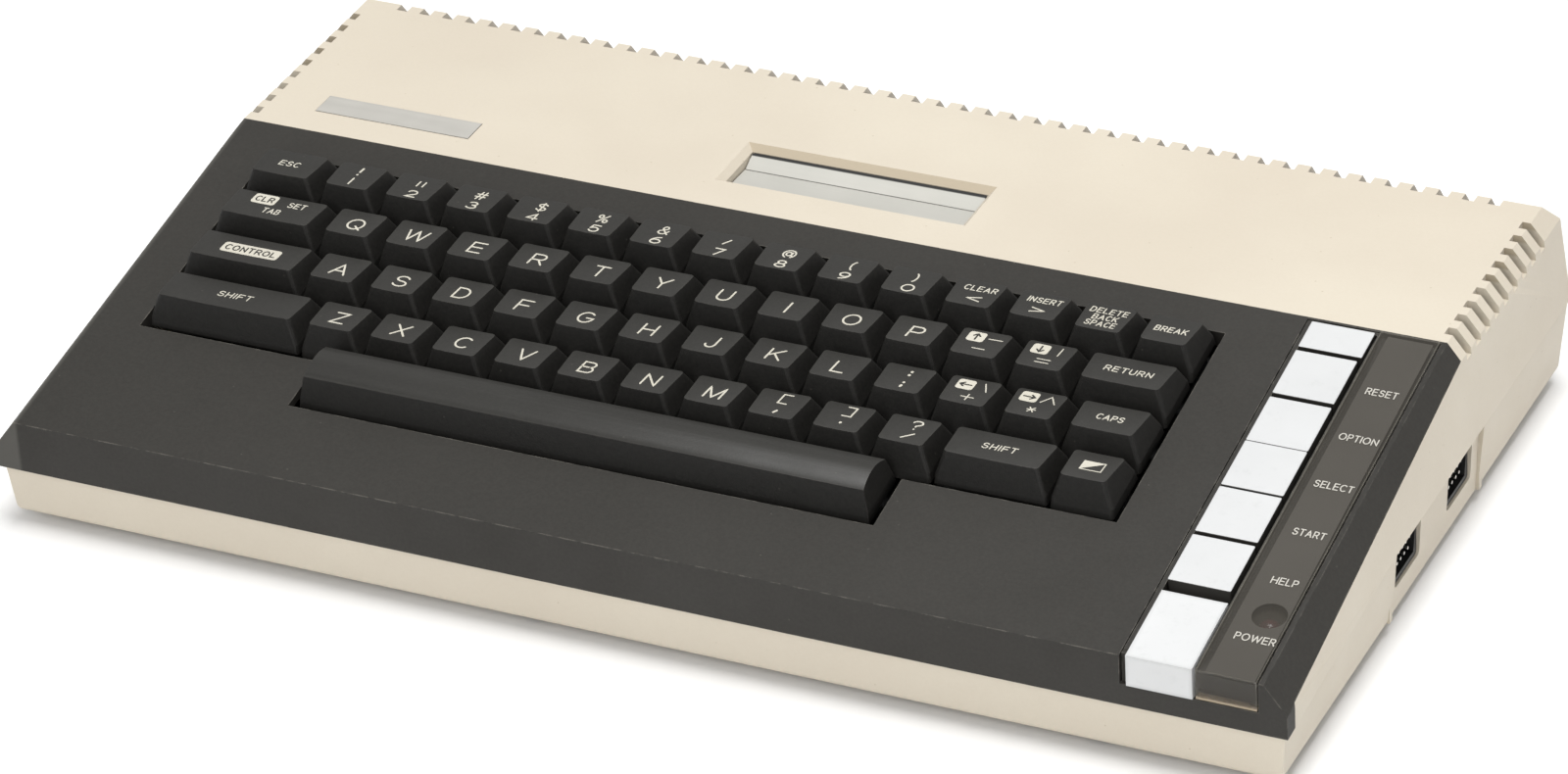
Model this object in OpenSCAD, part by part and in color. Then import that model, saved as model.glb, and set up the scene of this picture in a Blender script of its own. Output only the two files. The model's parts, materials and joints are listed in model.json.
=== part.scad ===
// Home computer with a built-in full-travel keyboard, a strip of console buttons,
// a cartridge slot in the rear deck and two controller ports on the right side.
// +X points right, +Y to the rear and +Z up. The origin is on the table, under the
// middle of the case, so the feet stand on Z = 0.

/* [Case] */
// Depth of the case at its parting line
case_d = 220; // [216:1:230]
// Height of the rear deck above the table
deck_h = 58; // [56:1:64]
// Where the flat deck ends and the keyboard surround begins, from the case centre
deck_front_y = 26.7; // [24:0.1:28]
// Fall of the keyboard surround towards the user, in degrees
surround_slope = 9.76; // [8.5:0.01:10.5]
// Thickness of the moulded walls
wall = 2.5; // [2:0.1:3]
// Length of the 45 degree cuts across the four corners at the parting line
corner_cut = 5.3; // [3:0.1:8]
// How far each side wall leans in on its way up from the parting line
side_lean = 2.5; // [1:0.1:4]
// Width of the chamfer along the deck's edges
chamfer_w = 4; // [3:0.1:5]
// Height of that chamfer
chamfer_h = 5; // [4:0.1:6]
// Height of the parting line at the rear and along most of the sides
parting_h = 26; // [25:0.1:28]
// Height of the parting line at the front
parting_front_h = 18.8; // [16:0.1:21]
// Radius of the rounded lower edge
base_round = 3; // [2:0.1:4]
// Height of the rubber feet
foot_h = 3; // [2.5:0.1:5]
// Radius of the rubber feet
foot_r = 7; // [5:0.5:9]

/* [Cooling slots] */
// Distance from one cooling slot to the next along the rear edge
slot_pitch = 7.58; // [7:0.01:8]
// Width of a cooling slot
slot_w = 3.5; // [2.5:0.1:4.5]
// How far a side slot runs in over the deck
slot_over = 2.4; // [1.5:0.1:3.5]
// How far a rear slot runs in over the deck
rear_slot_over = 3.3; // [1.5:0.1:4.5]
// How far a slot runs down the wall below the chamfer
slot_down = 1.9; // [1:0.1:3]
// Distance from the last rear slot's centre to the deck's side edge
slot_end = 12.5; // [11:0.1:20]

/* [Keyboard] */
// Distance between the centres of two ordinary keys
key_pitch = 19.05; // [19:0.01:19.1]
// Distance from the left side of the case to the key field
keys_in = 22.7; // [20:0.1:30]
// Distance from the front edge of the deck to the key field, down the slope
keys_v = 14; // [12:0.1:15]
// Height of a key's front top edge above the keyboard surround
key_front_h = 8.6; // [7.6:0.1:10]
// Height of a key's rear top edge above the keyboard surround
key_rear_h = 6.4; // [5.4:0.1:7.2]
// How far a key can be pressed
key_travel = 3.5; // [2.5:0.1:3.8]
// Gap between a key's skirt and the edge of its cell
key_gap = 0.35; // [0.3:0.01:0.5]
// Width of the slope on each side of a key top
key_side_in = 3.2; // [2.5:0.1:3.5]
// Depth of the slope in front of a key top
key_front_in = 3.7; // [3:0.1:4.2]
// Clearance between the keys and the opening around them
well_gap = 1.5; // [1.2:0.1:1.8]
// Depth of the hollow across a key top
key_dish = 0.25; // [0.1:0.05:0.6]

/* [Console strip] */
// Width of the console strip
strip_w = 38.1; // [37:0.1:39]
// Distance from the key field to the console strip
strip_gap = 20.8; // [18:0.1:26]
// Distance from the console strip to the chamfer on its right
strip_margin = 1.4; // [1.2:0.1:3]
// Width of a console button
button_w = 17.5; // [16:0.1:18]
// Length of a console button
button_l = 18.2; // [17:0.1:18.4]
// Height of a console button's top above the keyboard surround
button_h = 1.2; // [0.8:0.1:2]
// How far a console button can be pressed
button_travel = 1.8; // [1:0.1:2]

// Distance of the power light down the slope
led_v = 113.6; // [108:0.1:118]

/* [Nameplate] */
// Width of the bare nameplate
nameplate_w = 49.3; // [40:0.1:60]
// Depth of the nameplate
nameplate_d = 9.1; // [7:0.1:12]

/* [Cartridge slot] */
// Width of the cartridge slot at the deck
cart_w = 76.8; // [74:0.1:80]
// Depth of the cartridge slot, front to back
cart_d = 22.7; // [21.5:0.1:24]
// Distance of the slot's centre to the right of the case centre
cart_x = -1.2; // [-3:0.1:3]
// Distance of the slot's centre behind the case centre
cart_y = 51.7; // [51:0.1:54]
// Width and depth of the bevel round the slot
cart_bevel = 1.9; // [1:0.1:2.2]

/* [Ports] */
// Width of a controller port's opening
port_w = 18.8; // [18.2:0.1:19.2]
// Height of a controller port's opening
port_h = 12; // [11.4:0.1:12.2]
// Distance between the two controller ports
port_pitch = 40.2; // [38:0.1:44]
// Height of the middle of the controller ports above the table
port_z = 17.1; // [17:0.1:17.4]

/* [Hidden] */
$fn = 48;

cut = 0.5;            // how far a cutting solid stands proud of what it cuts
run_gap = 0.05;       // radial clearance of a hinge pin in its bore

beige = [0.86, 0.81, 0.71];
dark = [0.20, 0.19, 0.17];
key_black = [0.13, 0.13, 0.12];
silver = [0.80, 0.81, 0.82];
board_green = [0.16, 0.36, 0.22];
black = [0.06, 0.06, 0.06];
steel = [0.62, 0.63, 0.64];

field_w = 15.25*key_pitch;                 // the key field, a quarter key wider than 15
field_l = 5*key_pitch;
case_w = keys_in + field_w + strip_gap + strip_w + strip_margin + chamfer_w + side_lean;
front_y = -case_d/2;
lean_top_x = case_w/2 - side_lean;         // wall under the chamfer
deck_x = lean_top_x - chamfer_w;           // deck edge at the sides
deck_rear_y = case_d/2 - side_lean - chamfer_w;
chamfer_z = deck_h - chamfer_h;
surround_l = (deck_front_y - front_y)/cos(surround_slope);
front_edge_h = deck_h - (deck_front_y - front_y)*tan(surround_slope);
side_tan = side_lean/(chamfer_z - parting_h);
// How far the side chamfer reaches down at the front, where the walls have leaned in less
edge_drop = (side_lean + chamfer_w - side_tan*(front_edge_h - parting_h))
    /(cos(surround_slope)*chamfer_w/chamfer_h - side_tan);
parting_bend_y = -30;
base_in = 2.5;                             // how far the lower walls lean in to the base
lower_step = 0.5;                          // the lower shell's edge stands back from the upper's
seam = 0.3;                                // open line between the two halves of the case
cut_half = (case_w/2 + case_d/2 - corner_cut)/sqrt(2); // corner cuts, from the middle
floor_h = foot_h + wall;

// ---------------------------------------------------------------- helpers

// Extrudes a profile drawn in (y, z) along X.
module along_x(len) rotate([90, 0, 90]) linear_extrude(height = len, center = true) children();

// Extrudes a profile drawn in (x, z) along Y.
module along_y(len) rotate([90, 0, 0]) linear_extrude(height = len, center = true) children();

// Places children on the sloping surround: X right, Y up the slope from the deck's
// front edge, Z out of the surface.
module on_slope() translate([0, deck_front_y, deck_h]) rotate([surround_slope, 0, 0]) children();

// A box given by two opposite corners.
module box(a, b) translate(a) cube(b - a);

// A box on the slope: v is the distance down the slope from the deck's front edge.
module slope_box(x1, x2, v1, v2, h1, h2) on_slope() box([x1, -v2, h1], [x2, -v1, h2]);

// Mirrors a list of (x, z) points given for the right side into a closed outline.
function both_sides(right) = concat(right, [for (i = [len(right) - 1:-1:0]) [-right[i][0], right[i][1]]]);

// The chamfer's top edge moves in less than the faces when all faces move in by t.
function chamfer_in(t) = t*(norm([chamfer_w, chamfer_h]) - chamfer_w)/chamfer_h;

// The whole upper volume, with every outer face moved in by t.
module upper_block(t, low) {
    slope_x = deck_x - chamfer_in(t);
    reach = 80;
    intersection() {
        along_y(case_d - 2*t) polygon(both_sides([[case_w/2 - t, low], [case_w/2 - t, parting_h],
            [lean_top_x - t, chamfer_z - 0.35*t], [slope_x, deck_h - t]]));
        along_x(case_w) polygon([[front_y + t, low], [front_y + t, front_edge_h
            + t*(tan(surround_slope) - 1/cos(surround_slope))],
            [deck_front_y + t*tan(surround_slope/2), deck_h - t],
            [deck_rear_y - chamfer_in(t), deck_h - t],
            [case_d/2 - side_lean - t, chamfer_z - 0.35*t], [case_d/2 - t, parting_h],
            [case_d/2 - t, low]]);
        // the corner cuts lean in with the walls
        for (a = [-45, 45]) rotate([0, 0, a]) along_y(3*case_d) polygon(both_sides([
            [cut_half - t, low], [cut_half - t, parting_h],
            [cut_half - t - sqrt(2)*side_tan*(deck_h - parting_h), deck_h]]));
        on_slope() along_y(3*case_d) polygon(both_sides([
            [slope_x + reach*chamfer_w/chamfer_h, -t - reach], [slope_x, -t]]));
    }
}

// Everything above the open seam at the parting surface.
module above_parting() translate([0, 0, seam]) along_x(case_w + 20) polygon([
    [front_y - 5, parting_front_h], [front_y, parting_front_h], [parting_bend_y, parting_h],
    [case_d/2 + 5, parting_h], [case_d/2 + 5, deck_h + 20], [front_y - 5, deck_h + 20]]);

// Everything below it.
module below_parting() along_x(case_w + 20) polygon([[front_y - 5, -5], [case_d/2 + 5, -5],
    [case_d/2 + 5, parting_h], [parting_bend_y, parting_h], [front_y, parting_front_h],
    [front_y - 5, parting_front_h]]);

// Half outline of the lower shell: out along the floor, round the edge and up the wall.
function lower_half(half, t) = concat(
    [for (a = [0:15:90]) [half - base_in - base_round + (base_round - min(t, base_round - 0.5))*sin(a),
        foot_h + base_round - (base_round - min(t, base_round - 0.5))*cos(a)
        + max(0, t - base_round + 0.5)]],
    [[half - lower_step - t, parting_h + 2], [half - lower_step - t, parting_h + 12]]);

// The whole lower volume, with every outer face moved in by t.
module lower_block(t) intersection() {
    along_y(case_d) polygon(both_sides(lower_half(case_w/2, t)));
    along_x(case_w) polygon(both_sides(lower_half(case_d/2, t)));
    for (a = [-45, 45]) rotate([0, 0, a]) along_y(3*case_d) polygon(both_sides(lower_half(cut_half, t)));
}

// ---------------------------------------------------------------- shared places

port_x = case_w/2 - 2.2;                   // top of the flat panel around the controller ports
panel_lean = 1.2;                          // how far the panel leans in down to the base
port_mid_y = 5.7;
port_ys = [port_mid_y - port_pitch/2, port_mid_y + port_pitch/2];
panel_front_y = port_ys[0] - port_w/2 - 4;
panel_rear_y = port_ys[1] + port_w/2 + 5.3;
panel_in_x = port_x - wall - 0.6;          // inner face of the backing

rear_in_y = case_d/2 - base_in - wall;     // inner face of the rear wall near the floor
board_low = floor_h + 3.5;
board_t = 1.6;
board_top = board_low + board_t;
board_left = -case_w/2 + 23;
board_right = port_x - 6;
board_front_y = front_y + 47;
board_rear_y = rear_in_y - 2.2;
board_spots = [[board_left + 7, board_front_y + 42], [board_right - 32, board_front_y + 22],
    [board_left + 7, board_rear_y - 22], [40, board_rear_y - 32], [-10, board_front_y + 42],
    [-75, board_rear_y - 30]];

socket_z = board_top + 7.4;
// Centre x, centre z, height (0 for a round opening), width or radius
rear_sockets = [
    [-case_w/2 + 50, socket_z, 13, 20],    // power switch
    [-case_w/2 + 88, socket_z, 0, 8],      // power inlet
    [-case_w/2 + 126, socket_z, 0, 8],     // monitor socket
    [-case_w/2 + 158, socket_z, 0, 4.6],   // aerial jack
    [-case_w/2 + 184, socket_z - 2, 5, 10], // channel switch
    [-case_w/2 + 232, socket_z, 12.5, 48], // peripheral port
    [case_w/2 - 60, socket_z, 12, 66]];    // expansion port

keys_x = -case_w/2 + keys_in;              // left edge of the key field
keys_right = keys_x + field_w;
notch_left = keys_x + 2.9*key_pitch;
notch_right = keys_x + 12.1*key_pitch;

strip_right = deck_x - strip_margin;
strip_left = strip_right - strip_w;
strip_rear_v = 0.8;
strip_front_z = front_edge_h - 8.8;
button_x = strip_left + 2 + button_w/2;
button_vs = [14.9, 34.6, 52.95, 71.8, 91.3];

screw_in = 14;                             // case screws at the corners, in from the sides
screw_spots = [[-case_w/2 + screw_in, case_d/2 - screw_in], [case_w/2 - screw_in, case_d/2 - screw_in],
    [(rear_sockets[1][0] + rear_sockets[2][0])/2, case_d/2 - screw_in + 3],
    [-case_w/2 + screw_in, front_y + screw_in], [strip_left - 9, front_y + 10], [-30, front_y + 10]];
post_r = 4;
screw_r = 1.5;
screw_low = foot_h + 5;                    // top of the counterbore
post_low = 14;                             // where the posts meet the sleeves

// ---------------------------------------------------------------- case

cart_in_w = cart_w - 2*cart_bevel;         // the clear shaft below the bevel
cart_in_d = cart_d - 2*cart_bevel;

// A bevelled cut for the cartridge slot and the clear shaft below it.
module cartridge_cut() translate([cart_x, 0, 0]) intersection() {
    along_y(400) polygon(both_sides([[cart_in_w/2, deck_h - 40], [cart_in_w/2, deck_h - cart_bevel],
        [cart_w/2, deck_h], [cart_w/2, deck_h + cut]]));
    along_x(400) translate([cart_y, 0]) polygon(both_sides([[cart_in_d/2, deck_h - 40],
        [cart_in_d/2, deck_h - cart_bevel], [cart_d/2, deck_h], [cart_d/2, deck_h + cut]]));
}

// The rear and the front door: length, fall to the free edge and depth of the outer edge
// below the deck. The hinge pins sit under the plates, near their outer edges.
door_reach = [5.2, 11.9];
door_fall = [2.35, 0.45];
door_depth = [1.9, 3.8];
door_t = 1.2;
door_gap = 0.65;                           // gap along the outer edges
door_edge = 1.2;                           // from a plate's outer edge in to its pin
door_under = 0.3;                          // from a plate's underside down to the pin's middle
door_pin_r = 0.9;
door_rise = [for (i = [0, 1]) door_under + (door_edge*door_fall[i]
    + door_t*norm([door_reach[i], door_fall[i]]))/door_reach[i]];
door_ys = [cart_y + cart_in_d/2 - door_gap - door_edge, cart_y - cart_in_d/2 + door_gap + door_edge];
door_zs = [for (i = [0, 1]) deck_h - door_depth[i] - door_rise[i]];

// The walls round the shaft, which carry the door hinges; the slot's cut goes through them.
module cartridge_shaft() difference() {
    box([cart_x - cart_in_w/2 - 2.2, cart_y - cart_in_d/2 - 2.2, deck_h - 16],
        [cart_x + cart_in_w/2 + 2.2, cart_y + cart_in_d/2 + 2.2, deck_h - wall/2]);
    for (i = [0, 1]) translate([cart_x, door_ys[i], door_zs[i]]) rotate([0, 90, 0])
        cylinder(r = door_pin_r + run_gap, h = cart_w + 20, center = true);
}

side_slot_y = deck_front_y + 5.9;
side_pitch = slot_pitch - 0.12;
side_slots = floor((deck_rear_y - 8 - side_slot_y)/side_pitch) + 1;
rear_slots = floor(2*(deck_x - slot_end)/slot_pitch) + 1;

module side_slot_row() for (i = [0:side_slots - 1])
    translate([0, side_slot_y + i*side_pitch, 0])
        box([deck_x - slot_over, -slot_w/2, chamfer_z - slot_down], [case_w/2 + 5, slot_w/2, deck_h + 5]);

module rear_slot_row() for (i = [0:rear_slots - 1])
    translate([(i - (rear_slots - 1)/2)*slot_pitch, 0, 0])
        box([-slot_w/2, deck_rear_y - rear_slot_over, chamfer_z - slot_down],
            [slot_w/2, case_d/2 + 5, deck_h + 5]);

// The region that belongs to the keyboard surround: all in front of the deck and above the
// lower edge of the side chamfer, and the whole front.
module surround_region() {
    along_x(2*case_w) polygon([[deck_front_y, chamfer_z], [front_y, front_edge_h - edge_drop],
        [front_y - 20, front_edge_h - edge_drop], [front_y - 20, deck_h + 20],
        [deck_front_y, deck_h + 20]]);
    box([-case_w, front_y - 20, 0], [case_w, front_y + corner_cut, deck_h]);
}

// A cut that flattens the lower right wall around the controller ports.
module port_flat() translate([0, (panel_front_y + panel_rear_y)/2, 0])
    along_y(panel_rear_y - panel_front_y) polygon([[port_x - panel_lean, foot_h - 1],
        [port_x, parting_h], [port_x, parting_h + 1], [port_x + 12, parting_h + 1],
        [port_x + 12, foot_h - 1]]);

module port_openings() for (y = port_ys) translate([port_x - 12, y, port_z]) rotate([90, 0, 90])
    linear_extrude(height = 20) rounded_rect(port_w, port_h, 1.2);

module rounded_rect(w, h, r) {
    square([w - 2*r, h], center = true);
    square([w, h - 2*r], center = true);
    for (x = [-1, 1], y = [-1, 1]) translate([x*(w/2 - r), y*(h/2 - r)]) circle(r = r);
}

module post(spot, top) translate([spot[0], spot[1], post_low]) difference() {
    cylinder(r = post_r, h = top - post_low);
    translate([0, 0, -cut]) cylinder(r = screw_r, h = 14);
}

module top_case() color(beige) {
    difference() {
        union() {
            intersection() {
                difference() {
                    upper_block(0, 0);
                    upper_block(wall, -5);
                    surround_region();
                }
                above_parting();
            }
            // ledge that carries the keyboard surround
            intersection() {
                slope_box(-deck_x + 6, strip_left - 3, -5, 4, -wall - 2, -wall);
                upper_block(wall, 0);
            }
            cartridge_shaft();
            for (i = [0, 1, 2]) intersection() {
                post(screw_spots[i], deck_h);
                upper_block(wall/2, 0);
            }
        }
        cartridge_cut();
        side_slot_row();
        mirror([1, 0, 0]) side_slot_row();
        rear_slot_row();
        nameplate_box(0.2, cut);
    }
}

// The opening for the keys, with the notch for the space bar.
module key_opening(h1, h2) {
    slope_box(keys_x - well_gap, keys_right + well_gap, keys_v - well_gap,
        keys_v + 4*key_pitch + well_gap, h1, h2);
    slope_box(notch_left, notch_right, keys_v + 3*key_pitch, keys_v + field_l + well_gap, h1, h2);
}

post_rear_v = keys_v - 6;
post_front_v = keys_v + 4.57*key_pitch;
plate_posts = [[keys_x + 17, post_rear_v], [-20, post_rear_v], [keys_right - 13, post_rear_v],
    [keys_x + 17, post_front_v], [keys_right - 23, post_front_v],
    [strip_left - 7, keys_v + 2.15*key_pitch]];
rim_t = 1.6;
plate_top = -10;                           // upper face of the keyboard plate
plate_t = 1.5;

module keyboard_surround() color(dark) {
    difference() {
        union() {
            difference() {
                intersection() {
                    upper_block(0, 0);
                    above_parting();
                    surround_region();
                }
                upper_block(wall, -5);
            }
            intersection() {
                union() for (i = [3, 4, 5]) post(screw_spots[i], deck_h);
                upper_block(wall/2, 0);
            }
            on_slope() for (p = plate_posts) translate([p[0], -p[1], plate_top])
                cylinder(r = 3.5, h = -plate_top - wall/2);
            // rim around the key opening
            difference() {
                slope_box(keys_x - well_gap - rim_t, keys_right + well_gap + rim_t,
                    keys_v - well_gap - rim_t, keys_v + 4*key_pitch + well_gap + rim_t, -5, -wall/2);
                key_opening(-6, 1);
            }
            // pocket rails for the console strip
            slope_box(strip_left - rim_t, strip_left, strip_rear_v, surround_l - wall, -6.5, -wall/2);
        }
        key_opening(-8, 5);
        console_opening(0);
        on_slope() for (p = plate_posts) translate([p[0], -p[1], plate_top - cut])
            cylinder(r = 1.2, h = 6);
    }
}

// The opening for the console strip, through the top and down the front face.
module console_opening(gap) {
    slope_box(strip_left + gap, strip_right - gap, strip_rear_v + gap, surround_l + 5, -wall - 1, 5);
    box([strip_left + gap, front_y - 5, strip_front_z + gap], [strip_right - gap, front_y + wall + 0.6, 60]);
}

module rear_openings(d) for (s = rear_sockets) translate([s[0], rear_in_y - 4, s[1]]) {
    if (s[2] == 0) rotate([-90, 0, 0]) cylinder(r = s[3] + d, h = 14);
    else box([-s[3]/2 - d, 0, -s[2]/2 - d], [s[3]/2 + d, 14, s[2]/2 + d]);
}

module bottom_case() color(beige) {
    difference() {
        union() {
            intersection() {
                difference() {
                    lower_block(0);
                    lower_block(wall);
                }
                below_parting();
            }
            // flat panel around the controller ports
            box([panel_in_x, panel_front_y - 2, foot_h + 1], [port_x, panel_rear_y + 2, parting_h]);
            for (s = screw_spots) translate([s[0], s[1], foot_h + 0.5])
                cylinder(r = post_r + 1.4, h = post_low - foot_h - 0.5);
            for (s = board_spots) translate([s[0], s[1], foot_h + 0.5])
                cylinder(r = 3, h = board_low - foot_h - 0.5);
        }
        port_flat();
        port_openings();
        rear_openings(0.3);
        for (s = screw_spots) translate([s[0], s[1], 0]) {
            cylinder(r = screw_r + 0.1, h = 30);
            cylinder(r = 3.4, h = screw_low);
        }
        for (s = board_spots) translate([s[0], s[1], floor_h]) cylinder(r = 1.2, h = 10);
        // cooling slots in the floor
        for (x = [-120:12:-24], side = [-1, 1]) box([side*x - 1.5, -35, 0], [side*x + 1.5, 15, floor_h + 1]);
    }
}

module case_screws() color(steel) for (s = screw_spots) translate([s[0], s[1], 0]) {
    translate([0, 0, screw_low - 2.4]) difference() {
        cylinder(r = 3, h = 2.4);
        translate([0, 0, -cut]) cross_slot(3.6, 0.8, 1.6);
    }
    translate([0, 0, screw_low - 0.2]) cylinder(r = screw_r - 0.03, h = 14);
}

module cross_slot(l, w, h) {
    translate([-l/2, -w/2, 0]) cube([l, w, h]);
    translate([-w/2, -l/2, 0]) cube([w, l, h]);
}

foot_x = case_w/2 - 40;
foot_y = case_d/2 - 25;
foot_spots = [[-foot_x, -foot_y], [foot_x, -foot_y], [-foot_x, foot_y], [foot_x, foot_y]];

module rubber_feet() color(black) for (s = foot_spots) translate([s[0], s[1], 0]) union() {
    cylinder(r1 = foot_r - 0.8, r2 = foot_r, h = 1);
    translate([0, 0, 1]) cylinder(r = foot_r, h = foot_h - 1);
}

// The nameplate, or its seat in the deck with a gap all round.
module nameplate_box(gap, top) {
    x = -case_w/2 + 24.1;
    y = deck_front_y + 10.9;
    box([x - gap, y - gap, deck_h - 0.6], [x + nameplate_w + gap, y + nameplate_d + gap, deck_h + top]);
}

module nameplate() color(silver) nameplate_box(0, 0.15);

// ---------------------------------------------------------------- cartridge slot

// One spring door: a thin plate that falls towards its free edge, on a hinge pin.
module door(i) {
    thick = door_t*norm([door_reach[i], door_fall[i]])/door_reach[i];
    free_y = door_reach[i] - door_edge;
    free_z = door_rise[i] - door_fall[i];
    along_x(cart_in_w - 0.8) polygon([[-door_edge, door_rise[i]], [free_y, free_z],
        [free_y, free_z - thick], [-door_edge, door_rise[i] - thick]]);
    rotate([0, 90, 0]) cylinder(r = door_pin_r, h = cart_in_w + 3, center = true);
}

module cartridge_rear_door() color(silver)
    translate([cart_x, door_ys[0], door_zs[0]]) mirror([0, 1, 0]) door(0);

module cartridge_front_door() color(silver)
    translate([cart_x, door_ys[1], door_zs[1]]) door(1);

module cartridge_connector() color(black) difference() {
    box([cart_x - 35, cart_y - 4.5, board_top], [cart_x + 35, cart_y + 4.5, board_top + 14]);
    box([cart_x - 32, cart_y - 1.2, board_top + 3], [cart_x + 32, cart_y + 1.2, board_top + 15]);
}

// ---------------------------------------------------------------- console strip

lens_left = strip_left + 21.2;
frame_floor = -6.5;
led_x = strip_left + 31.3;
led_r = 3.2;
led_h = 6;                                 // height of the light below its dome
console_board_top = frame_floor - 5.5;
board_pin_vs = [9, led_v - 11.4];
push_h = 1.7;                              // height of the push switches under the buttons
strip_lift = 0.8;                          // lens and block stand this far above the surround
strip_proud = 0.6;                         // and this far in front of the case
block_rear_v = 113.4;

module console_frame() color(dark) difference() {
    union() {
        // standoffs with a pin, which carry the console board
        on_slope() for (v = board_pin_vs) translate([led_x, -v, console_board_top]) {
            cylinder(r = 3, h = frame_floor - console_board_top + 1);
            translate([0, 0, -board_t - 1]) cylinder(r = 1.4, h = 3);
        }
        slope_box(strip_left + 0.15, strip_right - 0.15, strip_rear_v + 0.15, surround_l - 3,
            frame_floor, -0.3);
        // apron down the front face
        intersection() {
            box([strip_left + 0.15, front_y + 1.4, strip_front_z + 0.15],
                [strip_right - 0.15, front_y + 5, front_edge_h]);
            slope_box(strip_left, strip_right, 60, surround_l + 5, -20, -0.3);
        }
    }
    // trough for the buttons
    slope_box(strip_left + 1.6, lens_left - 0.8, strip_rear_v + 1.2, surround_l + 5,
        frame_floor + 1.5, 2);
    // seat for the lens
    slope_box(lens_left - 0.2, strip_right + 1, strip_rear_v - 1, surround_l + 5, -1.7, 2);
    for (v = button_vs) slope_box(button_x - button_w/2 - 0.3, button_x + button_w/2 + 0.3,
        v - 0.2, v + button_l + 0.2, frame_floor - 1, 1);
    on_slope() translate([led_x, -led_v, frame_floor - 1]) cylinder(r = led_r + 1.6, h = 12);
}

module console_end_cap() color(silver) slope_box(button_x - button_w/2 - 0.2,
    button_x + button_w/2 + 0.4, strip_rear_v + 1.4, 13, frame_floor + 1.5, button_h - 0.4);

// The fixed block that wraps over the front edge.
module console_front_block() color(silver) {
    x1 = button_x - button_w/2;
    x2 = x1 + button_w + 0.8;
    slope_box(x1, x2, block_rear_v, surround_l - 1, frame_floor + 1.5, strip_lift);
    intersection() {
        box([x1, front_y - strip_proud, strip_front_z + 0.2], [x2, front_y + 1.4, deck_h]);
        slope_box(x1, x2, 60, surround_l + 5, -20, strip_lift);
    }
}

module console_lens() color([0.25, 0.24, 0.22, 0.6]) {
    x1 = lens_left;
    x2 = strip_right - 0.2;
    slope_box(x1, x2, strip_rear_v + 0.4, surround_l - 1, -1.7, strip_lift);
    intersection() {
        box([x1, front_y - strip_proud, strip_front_z + 0.7], [x2, front_y + 1.4, deck_h]);
        slope_box(x1, x2, 60, surround_l + 5, -20, strip_lift);
    }
}

module power_led() color([0.7, 0.1, 0.1]) on_slope() translate([led_x, -led_v, console_board_top]) {
    cylinder(r = led_r + 0.5, h = 1);
    cylinder(r = led_r, h = led_h);
    translate([0, 0, led_h]) sphere(r = led_r);
}

module console_board() color(board_green) difference() {
    union() {
        slope_box(strip_left + 1, strip_right - 1, 6, led_v + 8, console_board_top - board_t,
            console_board_top);
        // push switches under the buttons
        for (v = button_vs) slope_box(button_x - 3, button_x + 3, v + button_l/2 - 3,
            v + button_l/2 + 3, console_board_top - 0.5, console_board_top + push_h);
    }
    on_slope() for (v = board_pin_vs) translate([led_x, -v, -30]) cylinder(r = 1.5, h = 30);
}

// A push button with its stem; it hangs in the console frame.
module console_button(i) color(silver) {
    v = button_vs[i];
    slope_box(button_x - button_w/2, button_x + button_w/2, v, v + button_l, frame_floor, button_h);
    slope_box(button_x - 2, button_x + 2, v + button_l/2 - 2, v + button_l/2 + 2,
        console_board_top + push_h + button_travel + 0.1, frame_floor + 1);
}

module reset_button() console_button(0);
module option_button() console_button(1);
module select_button() console_button(2);
module start_button() console_button(3);
module help_button() console_button(4);

// ---------------------------------------------------------------- keyboard

cap_base = -2;                             // height of a key's lower edge
switch_top = -7;
switch_low = -15;
stem_w = 5;
stem_low = switch_low + 1 + key_travel;    // a pressed stem stays clear of its switch's floor

function key_mid(row, left, width) = [keys_x + (left + width/2)*key_pitch, keys_v + (row + 0.5)*key_pitch];

// A key cap on its stem. Row 0 is the rear row; left and width are in key pitches.
module key(row, left, width) color(key_black) {
    m = key_mid(row, left, width);
    w = width*key_pitch/2;
    top_w = w - key_side_in;
    top_run = key_pitch - 3 - key_front_in;
    dish_reach = w - key_gap;
    dish_r = (dish_reach*dish_reach + key_dish*key_dish)/(2*key_dish);
    on_slope() translate([m[0], -m[1], 0]) {
        difference() {
            intersection() {
                along_y(key_pitch) polygon(both_sides([[w - key_gap, cap_base],
                    [w - key_gap - 0.25, cap_base + 3], [top_w, key_front_h], [top_w, key_front_h + 3]]));
                along_x(2*w) polygon([[-key_pitch/2 + key_gap, cap_base],
                    [key_pitch/2 - key_gap, cap_base], [key_pitch/2 - key_gap - 0.6, cap_base + 3],
                    [key_pitch/2 - 3, key_rear_h], [-key_pitch/2 + key_front_in, key_front_h],
                    [-key_pitch/2 + key_gap + 1, cap_base + 3]]);
            }
            translate([0, (key_front_in - 3)/2, (key_front_h + key_rear_h)/2])
                rotate([-atan((key_front_h - key_rear_h)/top_run), 0, 0])
                    translate([0, 0, dish_r - key_dish]) rotate([90, 0, 0])
                        cylinder(r = dish_r, h = 2*key_pitch, center = true, $fn = 720);
        }
        translate([-stem_w/2, -stem_w/2, stem_low]) cube([stem_w, stem_w, cap_base - stem_low + 1]);
    }
}

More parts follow.
